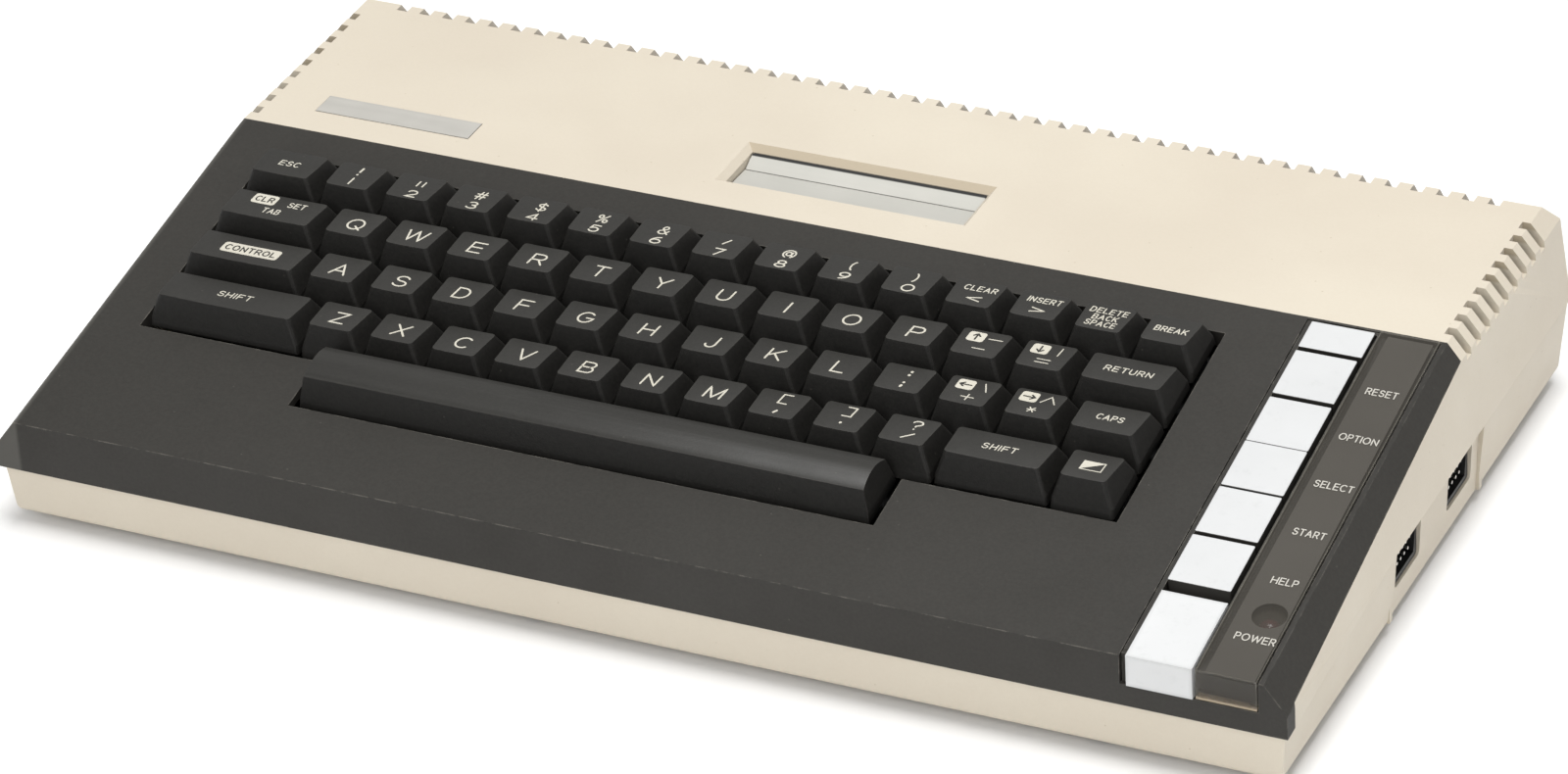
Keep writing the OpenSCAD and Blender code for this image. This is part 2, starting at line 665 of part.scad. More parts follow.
module esc_key() key(0, 0, 1.25);
module number_keys() for (i = [0:9]) key(0, 1.25 + i, 1);
module clear_key() key(0, 11.25, 1);
module insert_key() key(0, 12.25, 1);
module backspace_key() key(0, 13.25, 1);
module break_key() key(0, 14.25, 1);
module tab_key() key(1, 0, 1.75);
module upper_letter_keys() for (i = [0:11]) key(1, 1.75 + i, 1);
module return_key() key(1, 13.75, 1.5);
module control_key() key(2, 0, 2);
module home_letter_keys() for (i = [0:11]) key(2, 2 + i, 1);
module caps_key() key(2, 14, 1.25);
module left_shift_key() key(3, 0, 2.5);
module lower_letter_keys() for (i = [0:9]) key(3, 2.5 + i, 1);
module right_shift_key() key(3, 12.5, 1.75);
module inverse_key() key(3, 14.25, 1);

space_left = 3;
space_wide = 9;
wire_reach = 70;                           // half the distance between the wire's arms

// The space bar has a rounded top and two hooks for its levelling wire.
module space_bar() color(key_black) {
    m = key_mid(4, space_left, space_wide);
    w = space_wide*key_pitch/2;
    r = 9;
    on_slope() translate([m[0], -m[1], 0]) {
        intersection() {
            along_y(key_pitch) polygon(both_sides([[w - key_gap, cap_base],
                [w - key_gap - 0.25, cap_base + 3], [w - 2.4, 10], [w - 2.4, 12]]));
            along_x(2*w) intersection() {
                polygon([[-key_pitch/2 + key_gap, cap_base], [key_pitch/2 - key_gap, cap_base],
                    [key_pitch/2 - 3, 12], [-key_pitch/2 + 4.2, 12]]);
                translate([-0.4, 9 - 14]) circle(r = 14, $fn = 96);
            }
        }
        translate([-stem_w/2, -stem_w/2, stem_low]) cube([stem_w, stem_w, cap_base - stem_low + 1]);
    }
}

// The levelling wire that keeps the space bar flat.
module space_bar_wire() color(steel) {
    m = key_mid(4, space_left, space_wide);
    on_slope() translate([m[0], -m[1] + 9.5, plate_top + 1]) {
        rotate([0, 90, 0]) cylinder(r = 0.7, h = 2*wire_reach, center = true);
        for (x = [-wire_reach, wire_reach]) translate([x, 0, 0]) rotate([90, 0, 0]) cylinder(r = 0.7, h = 8);
    }
}

// Every switch position as [row, left, width].
key_cells = concat(
    [[0, 0, 1.25]], [for (i = [0:13]) [0, 1.25 + i, 1]],
    [[1, 0, 1.75]], [for (i = [0:11]) [1, 1.75 + i, 1]], [[1, 13.75, 1.5]],
    [[2, 0, 2]], [for (i = [0:11]) [2, 2 + i, 1]], [[2, 14, 1.25]],
    [[3, 0, 2.5]], [for (i = [0:9]) [3, 2.5 + i, 1]], [[3, 12.5, 1.75], [3, 14.25, 1]],
    [[4, space_left, space_wide]]);

switch_w = 13.6;

module at_cells() on_slope() for (c = key_cells) {
    m = key_mid(c[0], c[1], c[2]);
    translate([m[0], -m[1], 0]) children();
}

module key_switches() color(black) at_cells() difference() {
    translate([-switch_w/2, -switch_w/2, switch_low]) cube([switch_w, switch_w, switch_top - switch_low]);
    translate([-stem_w/2 - 0.3, -stem_w/2 - 0.3, switch_low + 0.6])
        cube([stem_w + 0.6, stem_w + 0.6, 12]);
}

module keyboard_plate() color(steel) difference() {
    slope_box(keys_x + 1.3, strip_left - 3, keys_v - 10, keys_v + field_l + 2.7, plate_top - plate_t,
        plate_top);
    at_cells() translate([-switch_w/2, -switch_w/2, plate_top - 3]) cube([switch_w, switch_w, 6]);
    on_slope() for (p = plate_posts) translate([p[0], -p[1], plate_top - 3]) cylinder(r = 1.5, h = 6);
}

module keyboard_board() color(board_green) difference() {
    slope_box(keys_x + 3.3, strip_left - 12, keys_v - 2, keys_v + field_l + 1.7,
        switch_low - board_t, switch_low);
    on_slope() for (p = plate_posts) translate([p[0], -p[1], switch_low - 3]) cylinder(r = 4, h = 6);
}

module keyboard_screws() color(steel) on_slope() for (p = plate_posts)
    translate([p[0], -p[1], plate_top - plate_t - 1.6]) {
        cylinder(r = 2.6, h = 1.6);
        cylinder(r = 1.15, h = 6.5);
    }

// The flat ribbon from the keyboard down to the main board.
ribbon_y = deck_front_y - 20;
ribbon_t = 0.4;
ribbon_top = deck_h - (20 + ribbon_t)*tan(surround_slope)
    + (switch_low - board_t)/cos(surround_slope);

module keyboard_ribbon() color([0.85, 0.85, 0.8])
    box([strip_left - 48, ribbon_y, board_top], [strip_left - 14, ribbon_y + ribbon_t, ribbon_top]);

// ---------------------------------------------------------------- main board

module main_board() color(board_green) difference() {
    box([board_left, board_front_y, board_low], [board_right, board_rear_y, board_top]);
    for (s = board_spots) translate([s[0], s[1], 0]) cylinder(r = 1.6, h = 30);
    for (s = screw_spots) translate([s[0], s[1], 0]) cylinder(r = 6.2, h = 30);
}

// Large chips in a row, a bank of smaller memory chips and four more near the front.
chip_h = 4.2;
chip_pitch = 11;

module chip(x, y, w, l) box([x - w/2, y - l/2, board_top], [x + w/2, y + l/2, board_top + chip_h]);

module main_chips() color(black) {
    for (i = [0:3]) chip(board_left + 31 + 28*i, board_front_y + 68, 14, 52);
    for (i = [0:7]) chip(-24 + chip_pitch*i, board_front_y + 77, 7, 20);
    for (x = [20, 45, 84, 100]) chip(x, board_front_y + 26, 7, 24);
}

// The folded metal screen over the chips.
shield_low = [board_left + 15, board_front_y + 6, board_top];
shield_high = [72, 38, board_top + 9];
sheet_t = 0.6;

module rf_shield() color(steel) difference() {
    box(shield_low, shield_high);
    box(shield_low + [sheet_t, sheet_t, -1], shield_high - [sheet_t, sheet_t, sheet_t]);
    for (x = [shield_low[0] + 12:14:shield_high[0] - 12], y = [-40, -10, 20])
        translate([x, y, board_top + 5]) cylinder(r = 2.5, h = 12);
}

module board_screws() color(steel) for (s = board_spots) translate([s[0], s[1], board_top]) {
    cylinder(r = 2.8, h = 1.6);
    translate([0, 0, -4]) cylinder(r = 1.15, h = 4.4);
}

// ---------------------------------------------------------------- controller ports

port_body_x = panel_in_x - 0.1;
port_floor_x = port_x - 7.5;
port_face_x = port_x - 1.45;

// The D-shaped outline of a nine-way connector, wider along its upper row.
module d_shape(grow) polygon([[-8.3 - grow, 4.1 + grow], [8.3 + grow, 4.1 + grow],
    [6.9 + grow, -4.1 - grow], [-6.9 - grow, -4.1 - grow]]);

// Five pins in the upper row and four in the lower.
pin_spots = concat([for (i = [-2:2]) [i*2.77, 1.42]], [for (i = [-1.5:1:1.5]) [i*2.77, -1.42]]);

module controller_ports() color(black) for (y = port_ys) {
    difference() {
        union() {
            box([port_body_x - 14, y - 10.5, board_top], [port_body_x, y + 10.5, port_z + 6.2]);
            translate([port_body_x - 1, y, port_z]) rotate([90, 0, 90])
                linear_extrude(height = port_face_x - port_body_x + 1)
                    rounded_rect(port_w - 0.5, port_h - 0.5, 1);
        }
        translate([port_floor_x, y, port_z]) rotate([90, 0, 90]) linear_extrude(height = 20) d_shape(0);
        translate([port_floor_x, y, port_z]) for (p = pin_spots) translate([-2, p[0], p[1]])
            rotate([0, 90, 0]) cylinder(r = 0.5, h = 3);
    }
}

module controller_pins() color(silver) for (y = port_ys) translate([port_floor_x, y, port_z])
    for (p = pin_spots) translate([-1.5, p[0], p[1]]) rotate([0, 90, 0]) cylinder(r = 0.5, h = 7);

// ---------------------------------------------------------------- rear sockets

// A round socket body with a ring of contact holes.
module round_socket(x, holes) translate([x, 0, 0]) difference() {
    union() {
        box([-9.5, rear_in_y - 14, board_top], [9.5, rear_in_y - 0.4, socket_z + 8.6]);
        translate([0, rear_in_y - 2, socket_z]) rotate([-90, 0, 0]) cylinder(r = 7.8, h = 3.4);
    }
    translate([0, rear_in_y - 4, socket_z]) rotate([-90, 0, 0]) difference() {
        cylinder(r = 6.9, h = 10);
        translate([0, 0, -1]) cylinder(r = 5.8, h = 5);
    }
    for (i = [0:holes - 1]) {
        a = 180*i/(holes - 1);
        translate([3.6*cos(a), rear_in_y - 7, socket_z + 3.6*sin(a) - 1]) rotate([-90, 0, 0])
            cylinder(r = 0.7, h = 12);
    }
}

module power_inlet() color(black) round_socket(rear_sockets[1][0], 7);

module monitor_socket() color(black) round_socket(rear_sockets[2][0], 5);

module tv_jack() color(steel) translate([rear_sockets[3][0], 0, 0]) difference() {
    union() {
        box([-7, rear_in_y - 16, board_top], [7, rear_in_y - 4, socket_z + 6]);
        translate([0, rear_in_y - 5, socket_z]) rotate([-90, 0, 0]) cylinder(r = 4.2, h = 9);
    }
    translate([0, rear_in_y - 6, socket_z]) rotate([-90, 0, 0]) cylinder(r = 1.6, h = 12);
}

module channel_switch() color(steel) translate([rear_sockets[4][0], 0, 0]) difference() {
    box([-6.5, rear_in_y - 8, board_top], [6.5, rear_in_y - 0.5, board_top + 9]);
    box([-4.6, rear_in_y - 3, socket_z - 3.6], [4.6, rear_in_y + 1, socket_z - 0.4]);
}

module channel_slider() color(black) translate([rear_sockets[4][0], 0, 0])
    box([-4, rear_in_y - 2.8, socket_z - 3.4], [0, rear_in_y + 2.6, socket_z - 0.6]);

rocker_r = 1;
rocker_lean = 8;

module power_switch() color(black) translate([rear_sockets[0][0], 0, 0]) difference() {
    union() {
        box([-9.6, rear_in_y - 16, board_top], [9.6, rear_in_y - 0.5, socket_z + 6.2]);
        box([-9.8, rear_in_y - 1, socket_z - 6.3], [9.8, rear_in_y + 1.2, socket_z + 6.3]);
    }
    box([-7.6, rear_in_y - 7.5, socket_z - 5], [7.6, rear_in_y + 2, socket_z + 5]);
    translate([0, rear_in_y - 2, socket_z]) rotate([0, 90, 0])
        cylinder(r = rocker_r + run_gap, h = 17.6, center = true);
}

// The rocker at rest leans to its off side.
module power_rocker() color(dark) translate([rear_sockets[0][0], rear_in_y - 2, socket_z])
    rotate([rocker_lean, 0, 0]) {
    along_x(14.6) polygon([[-2.6, -2.8], [2.6, -4.2], [1.6, 0], [2.6, 4.2], [-2.6, 2.8]]);
    rotate([0, 90, 0]) cylinder(r = rocker_r, h = 17.2, center = true);
}

module peripheral_port() color(black) translate([rear_sockets[5][0], 0, 0]) difference() {
    box([-23.5, rear_in_y - 13, board_top], [23.5, rear_in_y - 0.4, socket_z + 6]);
    translate([0, rear_in_y + 1, socket_z]) rotate([90, 0, 0]) linear_extrude(height = 7.5)
        polygon([[-21, -4.4], [21, -4.4], [19, 4.4], [-19, 4.4]]);
}

module expansion_cover() color(dark) translate([rear_sockets[6][0], 0, 0]) {
    s = rear_sockets[6];
    translate([0, 0, s[1]]) {
        box([-s[3]/2 + 0.1, rear_in_y + 0.2, -s[2]/2 + 0.1], [s[3]/2 - 0.1, rear_in_y + 1.8, s[2]/2 - 0.1]);
        for (x = [-25, 25]) box([x - 4, rear_in_y - 4, -s[2]/2 - 0.2], [x + 4, rear_in_y + 1, -s[2]/2 + 1.2]);
    }
}

// ---------------------------------------------------------------- what is drawn

bottom_case();
top_case();
keyboard_surround();
case_screws();
rubber_feet();
nameplate();
cartridge_rear_door();
cartridge_front_door();
cartridge_connector();
console_frame();
console_end_cap();
console_front_block();
console_lens();
power_led();
console_board();
reset_button();
option_button();
select_button();
start_button();
help_button();
keyboard_plate();
key_switches();
keyboard_board();
keyboard_ribbon();
keyboard_screws();
esc_key();
number_keys();
clear_key();
insert_key();
backspace_key();
break_key();
tab_key();
upper_letter_keys();
return_key();
control_key();
home_letter_keys();
caps_key();
left_shift_key();
lower_letter_keys();
right_shift_key();
inverse_key();
space_bar();
space_bar_wire();
main_board();
main_chips();
rf_shield();
board_screws();
controller_ports();
controller_pins();
power_inlet();
monitor_socket();
tv_jack();
channel_switch();
channel_slider();
power_switch();
power_rocker();
peripheral_port();
expansion_cover();
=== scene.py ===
import json
import math

import bmesh
import bpy
from mathutils import Matrix, Vector
from mathutils.bvhtree import BVHTree


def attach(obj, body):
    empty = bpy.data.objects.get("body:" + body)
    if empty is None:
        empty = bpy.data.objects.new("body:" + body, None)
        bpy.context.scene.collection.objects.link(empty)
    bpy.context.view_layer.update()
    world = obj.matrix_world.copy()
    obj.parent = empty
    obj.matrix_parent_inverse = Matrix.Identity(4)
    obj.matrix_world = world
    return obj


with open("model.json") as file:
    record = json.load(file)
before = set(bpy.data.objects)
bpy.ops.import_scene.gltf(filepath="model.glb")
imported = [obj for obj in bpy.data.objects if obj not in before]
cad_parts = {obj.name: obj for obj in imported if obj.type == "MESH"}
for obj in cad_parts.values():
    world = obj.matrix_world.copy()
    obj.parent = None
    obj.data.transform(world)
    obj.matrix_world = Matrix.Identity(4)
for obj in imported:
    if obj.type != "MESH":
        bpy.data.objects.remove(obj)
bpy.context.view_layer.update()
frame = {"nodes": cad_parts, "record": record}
NODES = frame["nodes"]

# ---------------------------------------------------------------- sizes shared with the CAD source
MM = 0.001
SLOPE = math.radians(9.76)     # of the keyboard surround
DECK_FRONT_Y = 26.7            # where the slope starts, in millimetres like the next four
DECK_H = 58.0
PITCH = 19.05                  # of the keys
KEYS_X = -167.3                # left edge of the rows' cells
KEYS_V = 14.0                  # rear edge of the first row, down the slope
LEFT_EDGE = -0.1834            # left edge of the surround's top, in metres like the next four
SLOT_WALL_Y = 0.0612           # rear wall of the cartridge slot
SLOT_FLOOR_Z = 0.0555          # lower end of what shows of that wall
DOOR_REAR_Y = 0.0596           # start of the rear door's shaded rear edge
LENS_FOOT = 0.0264             # height of the lens's lower front edge


def on_slope(x, v, h=0.0):
    """The point x across, v down the sloping surround and h above it, from millimetres to metres."""
    c, s = math.cos(SLOPE), math.sin(SLOPE)
    return Vector((x, DECK_FRONT_Y - v * c - h * s, DECK_H - v * s + h * c)) * MM


# ---------------------------------------------------------------- materials
STUDIO = 1.3        # the studio's brightness, which clears the paper behind to white
TONE = 1.44         # and what the object's colours are divided by, so that they show as named


def srgb(r, g, b):
    """An 8-bit display colour as linear RGBA."""
    def lin(c):
        c /= 255
        return c / 12.92 if c <= 0.04045 else ((c + 0.055) / 1.055) ** 2.4
    return (lin(r), lin(g), lin(b), 1.0)


def paint(r, g, b):
    """A surface colour that shows as this display colour under the studio's lights."""
    return tuple(c / TONE for c in srgb(r, g, b)[:3]) + (1.0,)


class Mat:
    """A procedural material on one Principled shader, in the object's own coordinates and metres."""

    def __init__(self, name, **sockets):
        self.mat = bpy.data.materials.new(name)
        self.mat.use_nodes = True
        self.nodes = self.mat.node_tree.nodes
        self.links = self.mat.node_tree.links
        self.shader = self.nodes["Principled BSDF"]
        self.coords = self.nodes.new("ShaderNodeTexCoord").outputs["Object"]
        for key, value in sockets.items():
            self.shader.inputs[key.replace("_", " ")].default_value = value

    def stretched(self, stretch):
        """The object's coordinates, scaled along each axis."""
        mapping = self.nodes.new("ShaderNodeMapping")
        mapping.inputs["Scale"].default_value = stretch
        self.links.new(self.coords, mapping.inputs["Vector"])
        return mapping.outputs["Vector"]

    def noise(self, scale, detail=3.0, rough=0.55, stretch=None):
        """A cloudy texture from 0 to 1."""
        node = self.nodes.new("ShaderNodeTexNoise")
        node.inputs["Scale"].default_value = scale
        node.inputs["Detail"].default_value = detail
        node.inputs["Roughness"].default_value = rough
        self.links.new(self.stretched(stretch) if stretch else self.coords, node.inputs["Vector"])
        return node.outputs["Fac"]

    def dust(self, scale, size, keep):
        """Sparse specks: 1 inside a speck. keep is the share of cells that have one."""
        node = self.nodes.new("ShaderNodeTexVoronoi")
        node.inputs["Scale"].default_value = scale
        self.links.new(self.coords, node.inputs["Vector"])
        chosen = self.nodes.new("ShaderNodeSeparateColor")
        self.links.new(node.outputs["Color"], chosen.inputs["Color"])
        near = self.ramp(node.outputs["Distance"], size, size * 0.5)
        return self.math("MULTIPLY", near, self.math("LESS_THAN", chosen.outputs["Red"], keep))

    def ramp(self, value, low, high, out_low=0.0, out_high=1.0):
        """The value brought from low and high to out_low and out_high, and no further."""
        node = self.nodes.new("ShaderNodeMapRange")
        node.inputs["From Min"].default_value = low
        node.inputs["From Max"].default_value = high
        node.inputs["To Min"].default_value = out_low
        node.inputs["To Max"].default_value = out_high
        self.links.new(value, node.inputs["Value"])
        return node.outputs["Result"]

    def math(self, kind, a, b):
        """One arithmetic node on numbers or sockets."""
        node = self.nodes.new("ShaderNodeMath")
        node.operation = kind
        for socket, value in zip(node.inputs, (a, b)):
            if isinstance(value, (int, float)):
                socket.default_value = value
            else:
                self.links.new(value, socket)
        return node.outputs["Value"]

    def mix(self, factor, a, b):
        """The colour a where factor is 0 and b where it is 1."""
        node = self.nodes.new("ShaderNodeMix")
        node.data_type = "RGBA"
        for name, value in (("Factor", factor), ("A", a), ("B", b)):
            socket = next(s for s in node.inputs if s.name == name and s.enabled)
            if isinstance(value, (tuple, int, float)):
                socket.default_value = value
            else:
                self.links.new(value, socket)
        return next(s for s in node.outputs if s.enabled)

    def edges(self, radius, low, high):
        """A mask that is 1 along edges, from a rounded normal against the true one: for worn edges, and for
        painted light on the smoked lens's edges.
        """
        bevel = self.nodes.new("ShaderNodeBevel")
        bevel.samples = 4
        bevel.inputs["Radius"].default_value = radius
        geometry = self.nodes.new("ShaderNodeNewGeometry")
        dot = self.nodes.new("ShaderNodeVectorMath")
        dot.operation = "DOT_PRODUCT"
        self.links.new(bevel.outputs["Normal"], dot.inputs[0])
        self.links.new(geometry.outputs["Normal"], dot.inputs[1])
        return self.ramp(dot.outputs["Value"], low, high, 1.0, 0.0)

    def facing(self, direction, low, high):
        """A mask that is 1 where the surface faces the direction, in the object's own axes."""
        normal = self.nodes.new("ShaderNodeTexCoord").outputs["Normal"]
        dot = self.nodes.new("ShaderNodeVectorMath")
        dot.operation = "DOT_PRODUCT"
        dot.inputs[1].default_value = direction
        self.links.new(normal, dot.inputs[0])
        return self.ramp(dot.outputs["Value"], low, high)

    def along(self, axis, low, high):
        """A mask that rises from 0 at low to 1 at high along one axis of the object, in metres."""
        split = self.nodes.new("ShaderNodeSeparateXYZ")
        self.links.new(self.coords, split.inputs["Vector"])
        return self.ramp(split.outputs[axis], low, high)

    def color(self, value):
        self.links.new(value, self.shader.inputs["Base Color"])

    def rough(self, value):
        self.links.new(value, self.shader.inputs["Roughness"])

    def bump(self, height, distance):
        """A relief of this height, in metres."""
        node = self.nodes.new("ShaderNodeBump")
        node.inputs["Distance"].default_value = distance
        node.inputs["Strength"].default_value = 1.0
        self.links.new(height, node.inputs["Height"])
        self.links.new(node.outputs["Normal"], self.shader.inputs["Normal"])


# Texture scales, in cells per metre
CLOUDS = 14.0
SHEEN = 60.0
BRUSHED = 700.0
SPECKLE = 900.0
GRAIN = 1900.0


def moulded(name, speck, dark, light, rough, grain=0.00003, wear=None, specks=0.1, shaded_sides=None,
            pale_left_band=None, shaded_slot_wall=None, **sockets):
    """Moulded plastic: a faint uneven tint, sparse dust, spark-eroded grain and, if asked, pale edges,
    painted shade on steep sides, a paler band along the left edge, or painted shade on the cartridge slot's
    rear wall."""
    m = Mat(name, **sockets)
    tint = m.mix(m.ramp(m.noise(CLOUDS, 4.0), 0.35, 0.68), dark, light)
    # painted shade: faces that don't look up are darkened, for the shade that falls on steep sides
    if shaded_sides:
        tint = m.mix(m.facing((0.0, 0.0, 1.0), 0.4, 0.75), shaded_sides, tint)
    # a paler band along the left edge of the surround
    if pale_left_band:
        tint = m.mix(m.math("MULTIPLY", m.along("X", LEFT_EDGE + 0.0012, LEFT_EDGE), 0.4), tint, pale_left_band)
    fine = m.ramp(m.noise(SPECKLE, 2.0, 0.7), 0.3, 0.7)
    tint = m.mix(m.math("MULTIPLY", fine, 0.05), tint, speck)
    tint = m.mix(m.math("MULTIPLY", m.dust(260.0, 0.09, 0.16), specks), tint, speck)
    if wear:
        patchy = m.ramp(m.noise(220.0, 4.0, 0.7), 0.44, 0.6)
        edge = m.math("MULTIPLY", m.edges(0.0005, 0.90, 0.995), patchy)
        tint = m.mix(m.math("MULTIPLY", edge, wear[1]), tint, wear[0])
    # painted shade: the slot's front-facing rear wall, low in the recess, is darkened where shade falls
    if shaded_slot_wall:
        rear = m.math("MULTIPLY", m.along("Y", SLOT_WALL_Y - 0.0015, SLOT_WALL_Y - 0.0005),
                      m.along("Z", SLOT_FLOOR_Z, SLOT_FLOOR_Z + 0.0008))
        rear = m.math("MULTIPLY", rear, m.facing((0.0, -1.0, 0.0), 0.3, 0.6))
        tint = m.mix(m.math("MULTIPLY", rear, 0.75), tint, shaded_slot_wall)
    m.color(tint)
    m.rough(m.ramp(m.noise(SHEEN, 3.0), 0.3, 0.7, rough - 0.05, rough + 0.05))
    m.bump(m.noise(GRAIN, 2.0, 0.6), grain)
    return m


# the case's beige, with painted shade on the cartridge slot's rear wall
beige = moulded("beige_plastic", paint(190, 172, 142), paint(232, 221, 202), paint(238, 228, 209), 0.55,
                specks=0.5, shaded_slot_wall=paint(196, 180, 152))
dark = moulded("dark_plastic", paint(128, 124, 116), paint(50, 48, 44), paint(55, 53, 49), 0.62,
               0.000018, (paint(150, 145, 135), 0.55), specks=0.22, pale_left_band=paint(122, 120, 114),
               Specular_IOR_Level=0.3)
# the keys' plastic, with painted shade on its steep sides
key_mat = moulded("key_plastic", paint(112, 108, 100), paint(48, 47, 44), paint(54, 53, 50), 0.5,
                  wear=(paint(112, 108, 100), 0.25), specks=0.25, shaded_sides=paint(32, 31, 29),
                  Specular_IOR_Level=0.35)
black = moulded("black_plastic", paint(40, 40, 40), paint(22, 22, 22), paint(30, 30, 30), 0.45)
rubber = moulded("rubber", paint(40, 40, 40), paint(26, 26, 26), paint(34, 34, 34), 0.8)
ribbon = moulded("ribbon", paint(200, 200, 190), paint(205, 205, 196), paint(216, 216, 208), 0.5)
board = moulded("board", paint(60, 110, 70), paint(30, 84, 48), paint(36, 98, 56), 0.3)
legend = moulded("legend_ink", paint(208, 202, 182), paint(224, 219, 202), paint(236, 231, 216), 0.5)
label = moulded("label_ink", paint(196, 192, 182), paint(210, 206, 196), paint(220, 216, 206), 0.5)
film_mat = moulded("film", paint(98, 94, 86), paint(74, 70, 63), paint(80, 76, 69), 0.6)


ALONG_X = (0.05, 1.0, 1.0)     # stretches a texture into lines across the part


def metal(name, color_a, color_b, rough, stretch=(1.0, 1.0, 1.0), metallic=1.0, shade_from=None):
    """Brushed metal, if asked with painted shade along the rear edge: black from the depth shade_from on,
    in metres.
    """
    m = Mat(name, Metallic=metallic)
    lines = m.noise(BRUSHED, 2.0, 0.6, stretch)
    tint = m.mix(m.ramp(m.noise(30.0), 0.3, 0.7), color_a, color_b)
    # painted shade: the gap behind the door's rear edge lies in shadow, so the edge is painted black
    if shade_from:
        tint = m.mix(m.along("Y", shade_from, shade_from + 0.0003), tint, paint(24, 23, 21))
    m.color(tint)
    m.rough(m.ramp(lines, 0.3, 0.7, rough - 0.08, rough + 0.08))
    m.bump(lines, 0.00001)
    return m


steel = metal("steel", paint(186, 186, 188), paint(208, 208, 210), 0.35)
pins = metal("pin_metal", paint(222, 220, 212), paint(238, 236, 230), 0.25)
alu = metal("aluminium", paint(203, 202, 194), paint(214, 212, 204), 0.6, ALONG_X, 0.1)
# the rear door, with painted shade along its rear edge
door_mat = metal("aluminium_door", paint(205, 204, 196), paint(216, 214, 206), 0.6, ALONG_X, 0.1,
                 DOOR_REAR_Y)
plate = metal("nameplate_metal", paint(214, 211, 203), paint(228, 225, 217), 0.5, ALONG_X, 0.3)


def silvered(name, tone, rim, sides=None):
    """Silvered plastic with a greyer rim; sides is a darker colour below the top, if any, partly the bare
    plastic's own and partly painted shade.
    """
    m = Mat(name, Coat_Weight=0.15, Coat_Roughness=0.15)
    tint = m.mix(m.ramp(m.noise(40.0, 3.0), 0.3, 0.7), paint(*tone), paint(*(c + 6 for c in tone)))
    smudge = m.ramp(m.noise(300.0, 5.0, 0.7), 0.56, 0.72)
    tint = m.mix(m.math("MULTIPLY", smudge, 0.12), tint, paint(176, 178, 176))
    tint = m.mix(m.math("MULTIPLY", m.edges(rim, 0.86, 0.999), 0.3), tint, paint(150, 152, 150))
    # sides: darker below the top, partly bare plastic and partly painted shade in the gaps between the caps
    if sides:
        tint = m.mix(m.facing((0.0, 0.0, 1.0), 0.45, 0.6), sides, tint)
    m.color(tint)
    m.rough(m.ramp(m.noise(90.0), 0.3, 0.7, 0.34, 0.46))
    m.bump(m.noise(1200.0), 0.00001)
    return m


silver = silvered("silver_block", (234, 235, 235), 0.0018)
caps_mat = silvered("silver_caps", (228, 229, 229), 0.0007, paint(66, 64, 60))


def smoked():
    """Smoked plastic that shows what lies under it, with painted light: paler, more opaque edges and a tan
    glow along its lower edge.
    """
    m = Mat("smoked_plastic", IOR=1.49, Coat_Weight=0.3, Coat_Roughness=0.1)
    tint = m.mix(m.ramp(m.noise(40.0, 3.0), 0.3, 0.7), paint(104, 99, 90), paint(112, 107, 98))
    # painted light: paler edges, as if lit through the plastic's thickness
    edge = m.math("MULTIPLY", m.edges(0.0008, 0.80, 0.99), 0.7)
    tint = m.mix(edge, tint, paint(170, 165, 152))
    # painted glow: the light that the plastic carries to its lower front edge
    foot_glow = m.math("MULTIPLY", m.along("Z", LENS_FOOT + 0.0011, LENS_FOOT + 0.0006), 0.9)
    m.color(m.mix(foot_glow, tint, paint(178, 160, 132)))
    cover = m.math("MAXIMUM", m.ramp(edge, 0.0, 1.0, 0.3, 0.7), foot_glow)
    m.links.new(cover, m.shader.inputs["Alpha"])
    m.rough(m.ramp(m.noise(90.0), 0.3, 0.7, 0.2, 0.3))
    m.bump(m.noise(1500.0), 0.00001)
    return m


lens_mat = smoked()


def red_light():
    """The power light's red plastic, unlit."""
    m = Mat("led_red", Coat_Weight=0.3, Coat_Roughness=0.15)
    m.color(m.mix(m.ramp(m.noise(300.0), 0.3, 0.7), paint(62, 14, 24), paint(90, 18, 32)))
    m.rough(m.ramp(m.noise(200.0), 0.3, 0.7, 0.15, 0.25))
    return m


led_mat = red_light()

SLOT_MATERIAL = {
    "beige_plastic": beige, "dark_plastic": dark, "key_plastic": key_mat, "silver_plastic": silver,
    "smoked_plastic": lens_mat, "black_plastic": black, "aluminium": alu, "steel": steel,
    "pin_metal": pins, "board": board, "ribbon": ribbon, "led": led_mat, "rubber": rubber,
}
SLOT_OF = {row["node"]: row["material_slot"] for row in frame["record"]["subparts"]}


def dress(node, material):
    """Gives a CAD node its one material."""
    o = NODES[node]
    o.data.materials.clear()
    o.data.materials.append(material.mat)


def round_edges(node, width, angle, segments=2):
    """Rounds a CAD node's edges that are sharper than angle, in degrees."""
    bevel = NODES[node].modifiers.new("round", "BEVEL")
    bevel.width = width
    bevel.segments = segments
    bevel.limit_method = "ANGLE"
    bevel.angle_limit = math.radians(angle)
    bevel.use_clamp_overlap = True
    bevel.miter_outer = "MITER_ARC"


WELD_REACH = 0.000004
CORNER_ANGLE = 83              # degrees from which an edge counts as an upright corner
EDGE_ANGLE = 32                # and from which it counts as sharp
ROUNDED_ANGLE = 40             # the same once the corners have been rounded


def soften(node, width, corner=0.0):
    """Joins the mesh's seams, rounds its upright corners by corner and all sharp edges by width."""
    weld = NODES[node].modifiers.new("weld", "WELD")
    weld.merge_threshold = WELD_REACH
    if corner:
        round_edges(node, corner, CORNER_ANGLE, 3)
    round_edges(node, width, ROUNDED_ANGLE if corner else EDGE_ANGLE)


for node_name in NODES:
    dress(node_name, SLOT_MATERIAL[SLOT_OF[node_name]])
dress("nameplate", plate)
dress("keyboard_plate", black)
dress("cartridge_rear_door", door_mat)
for node_name, slot_name in SLOT_OF.items():
    if slot_name == "silver_plastic" and node_name != "console_front_block":
        dress(node_name, caps_mat)

